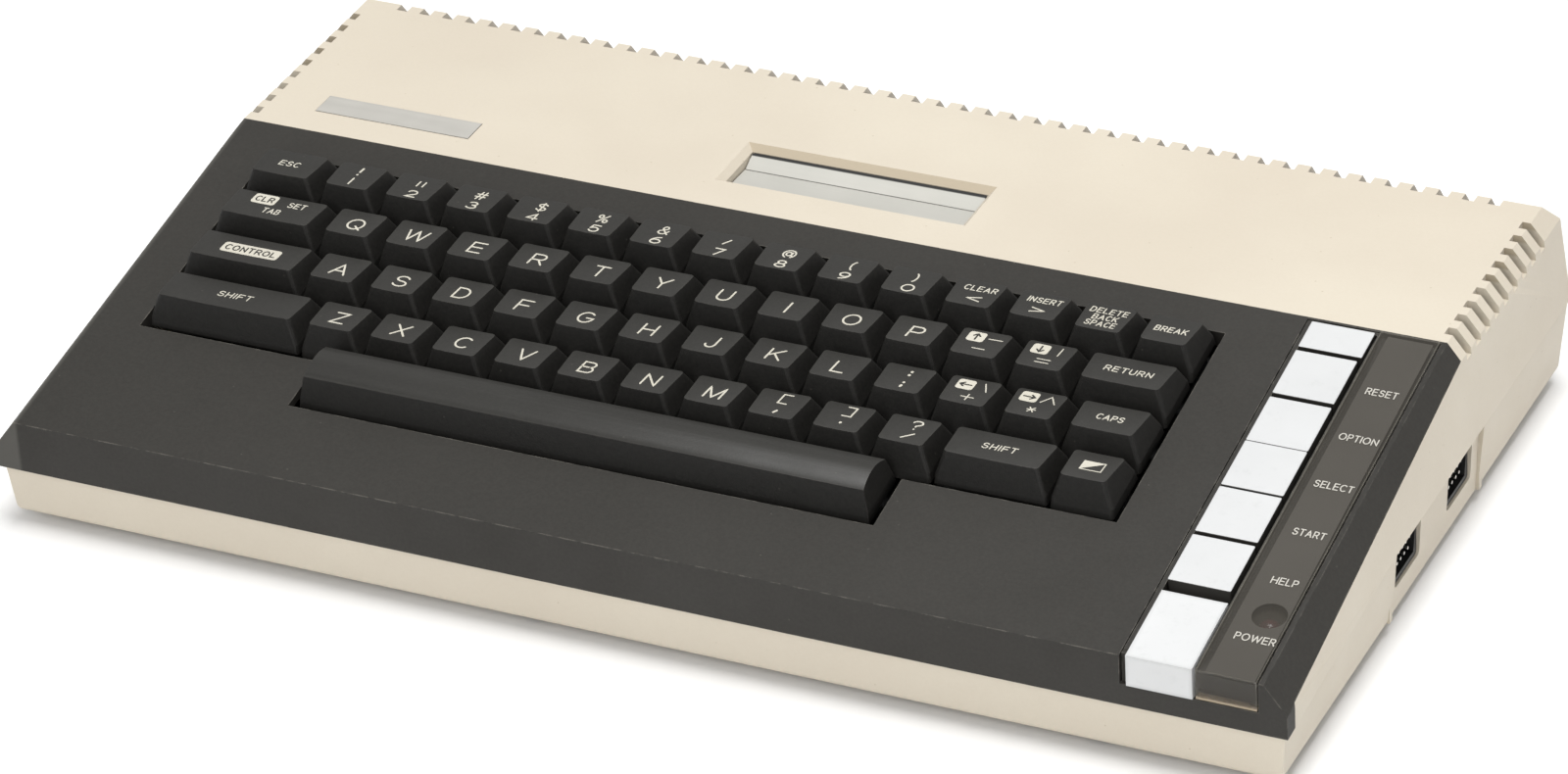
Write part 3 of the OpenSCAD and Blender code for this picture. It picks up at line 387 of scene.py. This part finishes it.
# ---------------------------------------------------------------- legends
# Each sign's strokes and its width: heights in cap heights, widths in the unit that a sign is given. A
# stroke is a run of x,y points, and a semicolon parts two strokes. An arc in a stroke is @ and its middle
# x,y, its radius along x,y, and its first and last angle.
STROKES = {
    "A": ("0,0 .48,1 .96,0;.17,.34 .79,.34", .96),
    "B": ("0,.52 .5,.52 @.5,.76,.27,.24,-90,90 0,1 0,0 .52,0 @.52,.26,.3,.26,-90,90", .82),
    "C": ("@.47,.5,.47,.5,48,312", .84), "D": ("0,0 0,1 .38,1 @.38,.5,.48,.5,90,-90 0,0", .86),
    "E": (".8,1 0,1 0,0 .8,0;0,.52 .72,.52", .8), "F": (".78,1 0,1 0,0;0,.5 .68,.5", .78),
    "G": ("@.47,.5,.47,.5,46,352 .94,.46 .52,.46", .94), "H": ("0,0 0,1;.84,0 .84,1;0,.5 .84,.5", .84),
    "I": ("0,0 0,1", 0), "J": ("0,.3 @.3,.3,.3,.3,180,360 .6,1", .6),
    "K": ("0,0 0,1;.82,1 0,.34;.3,.58 .86,0", .86), "L": ("0,1 0,0 .72,0", .72),
    "M": ("0,0 0,1 .5,.02 1,1 1,0", 1), "N": ("0,0 0,1 .84,0 .84,1", .84),
    "O": ("@.5,.5,.5,.5,0,360", 1), "P": ("0,0 0,1 .5,1 @.5,.73,.3,.27,90,-90 0,.46", .8),
    "Q": ("@.5,.5,.5,.5,0,360;.56,.32 .96,-.02", 1),
    "R": ("0,0 0,1 .5,1 @.5,.73,.3,.27,90,-90 0,.46;.46,.46 .84,0", .84),
    "S": ("@.42,.76,.36,.24,18,270 @.42,.26,.4,.26,90,-162", .82), "T": ("0,1 .84,1;.42,1 .42,0", .84),
    "U": ("0,1 0,.36 @.41,.36,.41,.36,180,360 .82,1", .82), "V": ("0,1 .46,0 .92,1", .92),
    "W": ("0,1 .3,0 .65,1 1,0 1.3,1", 1.3), "X": ("0,0 .86,1;0,1 .86,0", .86),
    "Y": ("0,1 .44,.46 .88,1;.44,.46 .44,0", .88), "Z": ("0,1 .82,1 0,0 .84,0", .84),
    "0": ("@.46,.5,.46,.5,0,360", .92), "1": ("0,0 0,1", 0),
    "2": ("@.38,.68,.36,.32,165,-35 0,0 .78,0", .78),
    "3": ("@.38,.76,.32,.24,150,-90;@.38,.26,.38,.26,90,-155", .76),
    "4": (".84,.26 0,.26 .6,1 .6,0", .84), "5": (".72,1 .14,1 .06,.52 @.38,.33,.36,.33,140,-155", .74),
    "6": ("@.86,.36,.84,.66,105,178;@.4,.31,.38,.31,0,360", .8), "7": ("0,1 .76,1 .24,0", .76),
    "8": ("@.38,.76,.3,.24,0,360;@.38,.26,.38,.26,0,360", .76),
    "9": ("@.4,.69,.38,.31,0,360;@-.06,.64,.84,.66,-75,2", .8), "!": ("0,1 0,.42;0,.05 0,0", 0),
    '"': ("0,.84 0,.2;.34,.84 .34,.2", .34),
    "#": (".2,0 .38,1;.56,0 .74,1;.04,.68 .9,.68;0,.34 .86,.34", .9),
    "$": ("@.42,.74,.34,.2,18,270 @.42,.28,.38,.22,90,-162;.42,1.08 .42,-.08", .82),
    "%": (".14,0 .8,1;@.18,.78,.17,.2,0,360;@.76,.22,.17,.2,0,360", .94),
    "&": (".84,0 .2,.68 @.4,.8,.2,.2,215,-35 .14,.42 @.32,.25,.32,.25,125,330 .82,.46", .84),
    "'": ("0,.2 .4,.84", .4),
    "@": ("@.5,.5,.5,.5,-60,250;@.46,.5,.22,.24,0,360;.7,.74 .7,.3 .9,.26", 1),
    "(": ("@.3,.5,.3,.56,110,250", .2), ")": ("@-.1,.5,.3,.56,70,-70", .2),
    "<": (".8,.86 0,.5 .8,.14", .8), ">": ("0,.86 .8,.5 0,.14", .8), "-": ("0,.5 .8,.5", .8),
    "|": ("0,0 0,1", 0), "=": ("0,.68 .86,.68;0,.32 .86,.32", .86),
    "+": ("0,.5 .86,.5;.43,.05 .43,.95", .86), "\\": ("0,1 .3,0", .3),
    "^": ("0,.1 .42,.95 .84,.1", .84), "*": ("0,.5 .64,.5;.12,.1 .52,.9;.12,.9 .52,.1", .64),
    ":": ("0,.86 0,.8;0,.2 0,.14", 0), ";": ("0,.86 0,.8;0,.24 -.06,0", 0),
    "[": (".34,1.05 0,1.05 0,-.05 .34,-.05", .34), "]": ("0,1.05 .34,1.05 .34,-.05 0,-.05", .34),
    ",": ("0,.26 -.16,-.1", 0), ".": ("0,.06 0,0", 0), "/": ("0,0 .5,1", .5),
    "?": ("@.34,.74,.32,.26,170,-60 .34,.42 .34,.3;.34,.04 .34,0", .68), " ": ("", .5),
    "^u": (".3,0 .3,1;0,.64 .3,1 .6,.64", .6), "^d": (".3,0 .3,1;0,.36 .3,0 .6,.36", .6),
    "^l": ("0,.5 1,.5;.34,.2 0,.5 .34,.8", 1), "^r": ("0,.5 1,.5;.66,.2 1,.5 .66,.8", 1),
}


ARC_STEP = 18                  # degrees of an arc that one straight piece takes up


def stroke_paths(glyph):
    """The glyph's strokes as lists of points, in the table's units."""
    paths = []
    for part in STROKES[glyph][0].split(";"):
        points = []
        for word in part.split():
            if word[0] == "@":
                cx, cy, rx, ry, a0, a1 = (float(q) for q in word[1:].split(","))
                steps = max(4, int(abs(a1 - a0) / ARC_STEP))
                for i in range(steps + 1):
                    a = math.radians(a0 + (a1 - a0) * i / steps)
                    points.append((cx + rx * math.cos(a), cy + ry * math.sin(a)))
            else:
                x, y = word.split(",")
                points.append((float(x), float(y)))
        if points:
            paths.append(points)
    return paths


def split_text(text):
    """The text's glyph names: one character each, or one arrow such as ^u."""
    return [text] if text in ("^u", "^d", "^l", "^r") else list(text)


STROKE_STEP = 0.8              # millimetres between the points at which a stroke meets its surface
NARROW = "ESRTLPA"             # letters that the humanist type squeezes most
NARROW_SQUEEZE, SQUEEZE = 0.74, 0.9


def place_text(text, high, wide, spacing, slant, humanist):
    """Stroke paths in millimetres for a word centred at the origin: a word is wide across, and a
    single sign has wide as its unit of width."""
    names = split_text(text)
    squeeze = [(NARROW_SQUEEZE if n in NARROW else SQUEEZE) if humanist else 1.0 for n in names]
    natural = sum(STROKES[n][1] * q for n, q in zip(names, squeeze)) + spacing * (len(names) - 1)
    unit = wide / natural if len(names) > 1 else wide
    x = -natural / 2
    placed = []
    for n, q in zip(names, squeeze):
        for path in stroke_paths(n):
            placed.append([((x + px * q) * unit + slant * (py - 0.5) * high, (py - 0.5) * high)
                           for px, py in path])
        x += STROKES[n][1] * q + spacing
    return placed


def resample(path, step):
    """The path with points no further apart than step."""
    out = [Vector(path[0])]
    for a, b in zip(path, path[1:]):
        a, b = Vector(a), Vector(b)
        n = max(1, math.ceil((b - a).length / step))
        out += [a.lerp(b, i / n) for i in range(1, n + 1)]
    return out


UP = Vector((0, -math.sin(SLOPE), math.cos(SLOPE)))      # the slope's normal
RAY_FROM = 25.0                # height above the slope, in millimetres, from which a print is dropped
RAY_LENGTH = 0.05              # in metres, like the next four
LIFT = 0.00004                 # of a print above its surface
BOXED_LIFT = 0.00009           # of a sign on a filled box
CROSS_RISE = 0.000004          # between one stroke and the next, so that crossings share no face
SUNK = 0.00005                 # depth of a print below its surface
PATCH_CELLS = 8                # of a filled box's grid, each way
MITRE = 1.6                    # most that a stroke widens at a corner
CAP_ANGLES = (0.9, 0.3, -0.3, -0.9)      # of a stroke's round end, in radians


def mesh_object(name, bm, material):
    """The bmesh as an object in one material."""
    mesh = bpy.data.meshes.new(name)
    bm.to_mesh(mesh)
    bm.free()
    o = bpy.data.objects.new(name, mesh)
    bpy.context.scene.collection.objects.link(o)
    mesh.materials.append(material.mat)
    return o


def sheet_object(name, bm, material, thickness):
    """A thin sheet as an object: every face of the bmesh turned up, and thickened downwards."""
    bmesh.ops.recalc_face_normals(bm, faces=bm.faces)
    for face in bm.faces:
        if face.normal.dot(UP) < 0:
            face.normal_flip()
    o = mesh_object(name, bm, material)
    depth = o.modifiers.new("depth", "SOLIDIFY")
    depth.thickness = thickness
    depth.offset = -1
    return o


class Print:
    """Thin lettering of ribbons and filled outlines, dropped onto a surface along the slope's normal."""

    def __init__(self, name, body, surface, material, lift=LIFT):
        self.name, self.body, self.tree = name, body, surface
        self.material, self.lift = material, lift
        self.bm = bmesh.new()
        self.last = None           # how high above the slope the last point landed
        self.rise = 0.0            # extra height of the stroke in hand

    def land(self, x, v):
        """The surface point under (x, v); beside the surface, at the height of the point before."""
        hit = self.tree.ray_cast(on_slope(x, v, RAY_FROM), -UP, RAY_LENGTH)[0]
        if hit is not None:
            self.last = (hit - on_slope(x, v)).dot(UP)
        return on_slope(x, v) + UP * (self.last + self.lift + self.rise)

    def vert(self, x, v):
        """A new vertex on the surface under (x, v)."""
        return self.bm.verts.new(self.land(x, v))

    def ribbon(self, path, x0, v0, width):
        """One stroke with round ends; path holds (x, y) in mm about the point (x0, v0)."""
        points = resample(path, STROKE_STEP)
        closed = (points[0] - points[-1]).length < 1e-4 and len(points) > 3
        if closed:
            points = points[:-1]
        count = len(points)
        rails = []
        for i, p in enumerate(points):
            before = points[(i - 1) % count] if closed or i else p
            after = points[(i + 1) % count] if closed or i < count - 1 else p
            d_in = (p - before).normalized() if (p - before).length > 1e-9 else (after - p).normalized()
            d_out = (after - p).normalized() if (after - p).length > 1e-9 else d_in
            side = Vector((-(d_in.y + d_out.y), d_in.x + d_out.x))
            if side.length < 1e-6:
                side = Vector((-d_in.y, d_in.x))
            side.normalize()
            stretch = min(MITRE, 1.0 / max(0.4, side.dot(Vector((-d_in.y, d_in.x)))))
            rails.append((p + side * width / 2 * stretch, p - side * width / 2 * stretch))
        verts = [(self.vert(x0 + a.x, v0 - a.y), self.vert(x0 + b.x, v0 - b.y)) for a, b in rails]
        pairs = list(zip(verts, verts[1:] + verts[:1])) if closed else list(zip(verts, verts[1:]))
        for (a, b), (c, d) in pairs:
            self.bm.faces.new((a, b, d, c))
        if not closed:
            for end, inner in ((0, 1), (-1, -2)):
                out = (points[end] - points[inner]).normalized()
                left, right = verts[end]
                start = math.atan2(out.y, out.x)
                cap = [self.vert(x0 + points[end].x + math.cos(start + t) * width / 2,
                                 v0 - points[end].y - math.sin(start + t) * width / 2)
                       for t in CAP_ANGLES]
                ring = [left] + cap + [right] if end == -1 else [right] + cap + [left]
                self.bm.faces.new(ring)

    def text(self, text, x, v, high, wide, width, slant, spacing, humanist=False):
        """A word or sign with its middle at (x, v) and strokes of this width."""
        for i, path in enumerate(place_text(text, high, wide, spacing, slant, humanist)):
            self.rise = i % 4 * CROSS_RISE
            self.ribbon(path, x, v, width)
        self.rise = 0.0

    def patch(self, x, v, w, l, r):
        """A filled rounded rectangle in a fine grid, so that it follows the surface."""
        grid = []
        for j in range(PATCH_CELLS + 1):
            y = -l / 2 * math.cos(math.pi * j / PATCH_CELLS)
            edge = l / 2 - abs(y)
            inset = r - math.sqrt(max(0.0, r * r - (r - edge) ** 2)) if edge < r else 0.0
            half = w / 2 - inset
            grid.append([self.vert(x + half * (2 * i / PATCH_CELLS - 1), v - y)
                         for i in range(PATCH_CELLS + 1)])
        for low, high in zip(grid, grid[1:]):
            for i in range(PATCH_CELLS):
                self.bm.faces.new((low[i], low[i + 1], high[i + 1], high[i]))

    def outline(self, points, x, v):
        """A filled flat shape; points holds (x, y) in mm about the point (x, v)."""
        self.bm.faces.new([self.vert(x + a, v - b) for a, b in points])

    def done(self, slot):
        """Makes the print an object and sets it on its body."""
        o = sheet_object(self.name, self.bm, self.material, self.lift + SUNK)
        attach(o, self.body)


def surface_tree(node):
    """A ray-casting tree over a CAD node at rest."""
    mesh = NODES[node].data
    verts = [v.co.copy() for v in mesh.vertices]
    faces = [list(p.vertices) for p in mesh.polygons]
    return BVHTree.FromPolygons(verts, faces)


# Sizes of the legends in millimetres: centre-line height, width of a full cap, stroke
BIG, BIG_UNIT, BIG_W = 5.15, 4.7, 0.57
DIGIT, DIGIT_UNIT, DIGIT_W = 3.3, 3.75, 0.5
SIGN, SIGN_UNIT, SIGN_W = 3.9, 3.5, 0.48
QUOTES_UNIT = SIGN_UNIT * 1.5  # the double quotes stand wider
EXCLAIM, EXCLAIM_W = 3.7, 0.66           # height and stroke of the exclamation mark
WORD, WORD_W = 2.35, 0.36      # and of a word
STRIP_WORD_W = 0.35            # stroke of a word on the console strip
BOXED_W = 0.42                 # of a word on a filled box
ARROW_W = 0.5                  # of an arrow on a filled box
FRAME_W = 0.34                 # of the inverse sign's frame
WORD_GAP = 0.46                # between a word's letters, in the unit of the table above
STRIP_WORD_GAP = 0.32          # the same on the console strip
SLANT = 0.05                   # sideways lean of the keys' letters, for each millimetre of height
BOX_R = 0.9                    # corner of a filled box
HIGH, LOW = 2.8, -2.7          # of an upper and a lower sign above the middle of the key's top


def letters(row, left, word):
    """One large letter on each key of a row."""
    return [(row, left + i, 1, [(c, 0.45, -0.55, BIG, BIG_UNIT, BIG_W)]) for i, c in enumerate(word)]


def word_sign(text, x, y, wide):
    """A word, wide over its outer edges."""
    return (text, x, y, WORD, wide - WORD_W, WORD_W)


def number_key(i, top, bottom):
    """The key i of the number row, with a sign above its digit."""
    if bottom == "1":
        signs = [(top, 0.1, 2.6, EXCLAIM, SIGN_UNIT, EXCLAIM_W),
                 (bottom, 0.0, -2.9, DIGIT, DIGIT_UNIT, DIGIT_W)]
    else:
        signs = [(top, 0.75, 2.0, SIGN, QUOTES_UNIT if top == '"' else SIGN_UNIT, SIGN_W),
                 (bottom, 0.65, -3.5, DIGIT, DIGIT_UNIT, DIGIT_W)]
    return (0, 1.25 + i, 1, signs)


# For each key node: (row, left edge in pitches, width, signs), a sign being
# (text, mm right of the middle, mm above it, height, unit or word width, stroke)
LEGENDS = {
    "esc_key": [(0, 0, 1.25, [word_sign("ESC", 0.3, -0.1, 6.4)])],
    "number_keys": [number_key(i, t, b) for i, (t, b) in enumerate(zip("!\"#$%&'@()", "1234567890"))],
    "clear_key": [(0, 11.25, 1, [word_sign("CLEAR", 0.8, 2.5, 9.7), ("<", 0.7, LOW, 3.0, 4.9, 0.45)])],
    "insert_key": [(0, 12.25, 1, [word_sign("INSERT", 0.6, 2.6, 10.0), (">", 0.4, -2.5, 3.0, 4.9, 0.45)])],
    "backspace_key": [(0, 13.25, 1, [word_sign("DELETE", 0.1, 3.3, 11.0), word_sign("BACK", 0.2, -0.1, 7.4),
                                     word_sign("SPACE", 0.0, -3.3, 9.0)])],
    "break_key": [(0, 14.25, 1, [word_sign("BREAK", 0.2, 0.1, 9.5)])],
    "tab_key": [(1, 0, 1.75, [word_sign("SET", 6.2, 2.6, 5.6), word_sign("TAB", 0.4, -2.1, 5.5)])],
    "upper_letter_keys": letters(1, 1.75, "QWERTYUIOP") + [
        (1, 11.75, 1, [("-", 3.3, HIGH, 3.4, 4.9, WORD_W), ("-", 0.5, LOW, 3.0, 4.4, WORD_W)]),
        (1, 12.75, 1, [("|", 3.1, HIGH, 3.9, 1.0, WORD_W), ("=", 0.2, LOW, 4.4, 4.4, WORD_W)])],
    "return_key": [(1, 13.75, 1.5, [word_sign("RETURN", 0.2, 0.1, 13.9)])],
    "control_key": [],
    "home_letter_keys": letters(2, 2, "ASDFGHJKL") + [
        (2, 11, 1, [(":", 0.7, HIGH, 2.6, 1.0, 0.85), (";", 0.7, LOW, 2.6, 1.0, 0.75)]),
        (2, 12, 1, [("\\", 3.6, HIGH, 3.9, 6.0, WORD_W), ("+", 0.6, -2.9, 3.2, 4.2, WORD_W)]),
        (2, 13, 1, [("^", 3.0, HIGH, 3.9, 4.8, WORD_W), ("*", 0.1, -2.9, 2.6, 3.8, WORD_W)])],
    "caps_key": [(2, 14, 1.25, [word_sign("CAPS", 0.1, 0.2, 7.8)])],
    "left_shift_key": [(3, 0, 2.5, [word_sign("SHIFT", 0.5, 0.0, 10.6)])],
    "lower_letter_keys": letters(3, 2.5, "ZXCVBNM") + [
        (3, 9.5, 1, [("[", 0.7, HIGH, 4.0, 7.4, SIGN_W), (",", 0.9, -2.4, 3.0, 3.0, 0.7)]),
        (3, 10.5, 1, [("]", 0.6, HIGH, 4.0, 7.4, SIGN_W), (".", 0.4, -1.4, 3.0, 3.0, 0.8)]),
        (3, 11.5, 1, [("?", 1.1, 2.7, 4.1, 4.2, SIGN_W), ("/", 0.8, LOW, 2.6, 5.4, SIGN_W)])],
    "right_shift_key": [(3, 12.5, 1.75, [word_sign("SHIFT", 0.1, -0.1, 10.0)])],
}
# Boxed signs: (node, row, left, width, x, y, box width, box length, text, height, word width, stroke)
BOXES = [
    ("tab_key", 1, 0, 1.75, -4.4, 3.2, 7.5, 4.9, "CLR", WORD, 5.4, BOXED_W),
    ("control_key", 2, 0, 2, 0.4, -0.15, 18.0, 4.9, "CONTROL", WORD, 15.6, BOXED_W),
    ("upper_letter_keys", 1, 11.75, 1, -2.3, HIGH, 5.0, 4.7, "^u", 2.9, 3.2, ARROW_W),
    ("upper_letter_keys", 1, 12.75, 1, -2.6, HIGH, 5.0, 4.7, "^d", 2.9, 3.2, ARROW_W),
    ("home_letter_keys", 2, 12, 1, -2.2, HIGH, 5.0, 4.7, "^l", 3.2, 3.3, ARROW_W),
    ("home_letter_keys", 2, 13, 1, -2.8, HIGH, 5.0, 4.7, "^r", 3.2, 3.3, ARROW_W),
]
TOP_MID = 0.35                 # the middle of a key's top lies this far up the slope from its cell's


def cell_mid(row, left, width):
    """The middle of a key's top, as x and v in millimetres."""
    return KEYS_X + (left + width / 2) * PITCH, KEYS_V + (row + 0.5) * PITCH - TOP_MID


def print_on(name, node, material, lift=LIFT):
    """An empty print on a key node."""
    return Print(name, node, surface_tree(node), material, lift)


def key_legends(node, keys):
    """Prints a key node's plain signs and filled boxes, and then the dark signs on the boxes."""
    boxes = [box[1:] for box in BOXES if box[0] == node]
    light_print = print_on(node + "_legend", node, legend)
    for row, left, width, signs in keys:
        mx, mv = cell_mid(row, left, width)
        for sign, dx, dy, high, wide, stroke in signs:
            light_print.text(sign, mx + dx, mv - dy, high, wide, stroke, SLANT, WORD_GAP)
    for row, left, width, dx, dy, box_w, box_l, *_ in boxes:
        mx, mv = cell_mid(row, left, width)
        light_print.patch(mx + dx, mv - dy, box_w, box_l, BOX_R)
    light_print.done("key_plastic")
    if not boxes:
        return
    dark_print = print_on(node + "_boxed", node, key_mat, BOXED_LIFT)
    for row, left, width, dx, dy, _, _, sign, high, wide, stroke in boxes:
        mx, mv = cell_mid(row, left, width)
        dark_print.text(sign, mx + dx, mv - dy, high, wide, stroke, 0.0, WORD_GAP)
    dark_print.done("key_plastic")


def inverse_sign(half_w=3, half_l=2.0, right_by=0.4):
    """The inverse key's sign: a framed rectangle, its upper left half filled."""
    frame_print = print_on("inverse_sign", "inverse_key", legend)
    mx, mv = cell_mid(3, 14.25, 1)
    mx += right_by
    corners = [(-half_w, -half_l), (half_w, -half_l), (half_w, half_l), (-half_w, half_l)]
    frame_print.ribbon(corners + corners[:1], mx, mv, FRAME_W)
    frame_print.outline([corners[0], corners[2], corners[3]], mx, mv)
    frame_print.done("key_plastic")


for node_name, keys in LEGENDS.items():
    key_legends(node_name, keys)
inverse_sign()

# ---------------------------------------------------------------- console strip
FILM_H = 0.6                   # the film's height above the slope
FILM_T = 0.0001                # its thickness, in metres
FILM = [(167.7, 2.6), (180.5, 2.6), (181.3, 138.7), (167.7, 138.7)]      # its corners, (x, v)
FILM_SPOKES = 60               # evenly spaced edges from the hole to the film's rim
LIGHT_X, LIGHT_V = 176.2, 114.6
HOLE_R = 4.7


def film_reach(angle):
    """How far the film reaches from the light in one direction, in millimetres."""
    dx, dv = math.cos(angle), math.sin(angle)
    reaches = []
    for (xa, va), (xb, vb) in zip(FILM, FILM[1:] + FILM[:1]):
        ex, ev = xb - xa, vb - va
        cross = dx * ev - dv * ex
        if abs(cross) > 1e-9:
            along = ((xa - LIGHT_X) * ev - (va - LIGHT_V) * ex) / cross
            if along > 0:
                reaches.append(along)
    return min(reaches)


def strip_film():
    """The film under the smoked lens, with a round hole for the power light."""
    angles = [2 * math.pi * i / FILM_SPOKES for i in range(FILM_SPOKES)]
    angles += [math.atan2(v - LIGHT_V, x - LIGHT_X) for x, v in FILM]
    angles = sorted(a % (2 * math.pi) for a in angles)
    film = bmesh.new()
    inner, outer = [], []
    for a in angles:
        for ring, reach in ((inner, HOLE_R), (outer, film_reach(a))):
            x, v = LIGHT_X + reach * math.cos(a), LIGHT_V + reach * math.sin(a)
            ring.append(film.verts.new(on_slope(x, v, FILM_H)))
    for i in range(len(angles)):
        j = (i + 1) % len(angles)
        film.faces.new((inner[i], inner[j], outer[j], outer[i]))
    film_object = sheet_object("strip_film", film, film_mat, FILM_T)
    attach(film_object, "case")


# Each word on the smoked lens, with its middle's x and v and its width over its outer edges
STRIP_WORDS = [("RESET", 174.2, 25.2, 9.0), ("OPTION", 174.6, 44.2, 11.0), ("SELECT", 174.8, 63.5, 10.9),
               ("START", 175.1, 82.6, 9.1), ("HELP", 175.5, 101.7, 7.4), ("POWER", 175.8, 124.0, 11.2)]


def strip_words():
    """The words printed on the smoked lens."""
    lens_print = Print("strip_words", "case", surface_tree("console_lens"), label)
    for word, x, v, wide in STRIP_WORDS:
        lens_print.text(word, x, v, WORD, wide - STRIP_WORD_W, STRIP_WORD_W, 0.0, STRIP_WORD_GAP,
                        humanist=True)
    lens_print.done("smoked_plastic")


strip_film()
strip_words()

# ---------------------------------------------------------------- cartridge slot
SLOT_X = (-37.0, 34.6)         # the slot's inner ends
SHADE_ROD_Y, SHADE_ROD_Z = 60.86, 55.7   # the shade rod's middle line
SHADE_ROD_T = 0.58                  # and its thickness
SHADE_ROD_SIDES = 8


def slot_shade_rod():
    """Painted shade: a dark rod along the slot's rear wall, standing in for the shadow in the gap behind
    the slot's rear door.
    """
    shade_rod = bmesh.new()
    ring = [(SHADE_ROD_Y + SHADE_ROD_T / 2 * math.cos(a), SHADE_ROD_Z + SHADE_ROD_T / 2 * math.sin(a))
            for a in (math.pi * (2 * i + 1) / SHADE_ROD_SIDES for i in range(SHADE_ROD_SIDES))]
    left, right = ([shade_rod.verts.new(Vector((x, y, z)) * MM) for y, z in ring] for x in SLOT_X)
    for i in range(SHADE_ROD_SIDES):
        j = (i + 1) % SHADE_ROD_SIDES
        shade_rod.faces.new((left[i], left[j], right[j], right[i]))
    shade_rod.faces.new(left)
    shade_rod.faces.new(right[::-1])
    bmesh.ops.recalc_face_normals(shade_rod, faces=shade_rod.faces)
    # the rubber material only lends the rod its dark colour; the rod is painted shade
    shade_rod_object = mesh_object("slot_shade_rod", shade_rod, rubber)
    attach(shade_rod_object, "case")


slot_shade_rod()

# ---------------------------------------------------------------- rounds on the sharp edges
CASE_ROUND = 0.0006
FINE_ROUND = 0.0004
SILVER_ROUND = 0.0003
KEY_CORNER = 0.001

soften("top_case", CASE_ROUND)
soften("bottom_case", CASE_ROUND)
soften("keyboard_surround", FINE_ROUND)
for node_name, slot_name in SLOT_OF.items():
    if slot_name == "key_plastic":
        soften(node_name, FINE_ROUND, KEY_CORNER)
    if slot_name == "silver_plastic":
        soften(node_name, SILVER_ROUND)
soften("console_lens", FINE_ROUND)

# ---------------------------------------------------------------- stage, light and camera
scene = bpy.context.scene
FLOOR_SIZE = 14
SKY = 0.32                     # strength of the light from all around
MIDDLE = (0, 0, 0)             # what the lamps point at


def paper_floor():
    """The white paper that the part stands on, out to beyond the picture."""
    bpy.ops.mesh.primitive_plane_add(size=FLOOR_SIZE)
    floor = bpy.context.object
    floor.name = "floor"
    paper = Mat("floor_paper")
    paper.color(paper.mix(paper.noise(0.6), srgb(240, 240, 240), srgb(246, 246, 246)))
    paper.rough(paper.ramp(paper.noise(3.0), 0.3, 0.7, 0.85, 0.95))
    floor.data.materials.append(paper.mat)


def sky():
    """An even white light from all around."""
    world = bpy.data.worlds.new("studio")
    scene.world = world
    world.use_nodes = True
    background = world.node_tree.nodes["Background"]
    background.inputs["Color"].default_value = (1, 1, 1, 1)
    background.inputs["Strength"].default_value = SKY * STUDIO


def area(name, place, size, power):
    """A round lamp that points at the part, size across in metres and power in watts."""
    lamp = bpy.data.lights.new(name, "AREA")
    lamp.shape = "DISK"
    lamp.size = size
    lamp.energy = power * STUDIO
    o = bpy.data.objects.new(name, lamp)
    o.location = place
    o.rotation_euler = (Vector(MIDDLE) - Vector(place)).to_track_quat("-Z", "Y").to_euler()
    scene.collection.objects.link(o)


paper_floor()
sky()
scene.view_settings.view_transform = "Standard"
area("key_light", (0.2, 0.0, 1.9), 1.2, 27)
area("fill_light", (0.2, -1.7, 1.1), 1.6, 12)
area("side_light", (1.8, 0.3, 0.8), 1.2, 2)

CAMERA_PLACE = (0.69520, -1.39747, 0.97650)
YAW, TILT, ROLL = (math.radians(a) for a in (26.505, -31.472, 3.421))
FOCAL_PX, IMAGE_W = 6724.71, 1600


def fitted_camera():
    """The camera, in the place and turn that the object's corners were fitted to."""
    turn = Matrix.Rotation(YAW, 3, "Z") @ Matrix.Rotation(TILT, 3, "X") @ Matrix.Rotation(ROLL, 3, "Y")
    right, forward, up = turn.col
    optics = bpy.data.cameras.new("camera")
    optics.sensor_width = 36
    optics.lens = FOCAL_PX * optics.sensor_width / IMAGE_W
    optics.clip_end = 50
    camera = bpy.data.objects.new("camera", optics)
    pose = Matrix((right, up, -forward)).transposed().to_4x4()
    pose.translation = CAMERA_PLACE
    camera.matrix_world = pose
    scene.collection.objects.link(camera)
    scene.camera = camera


fitted_camera()
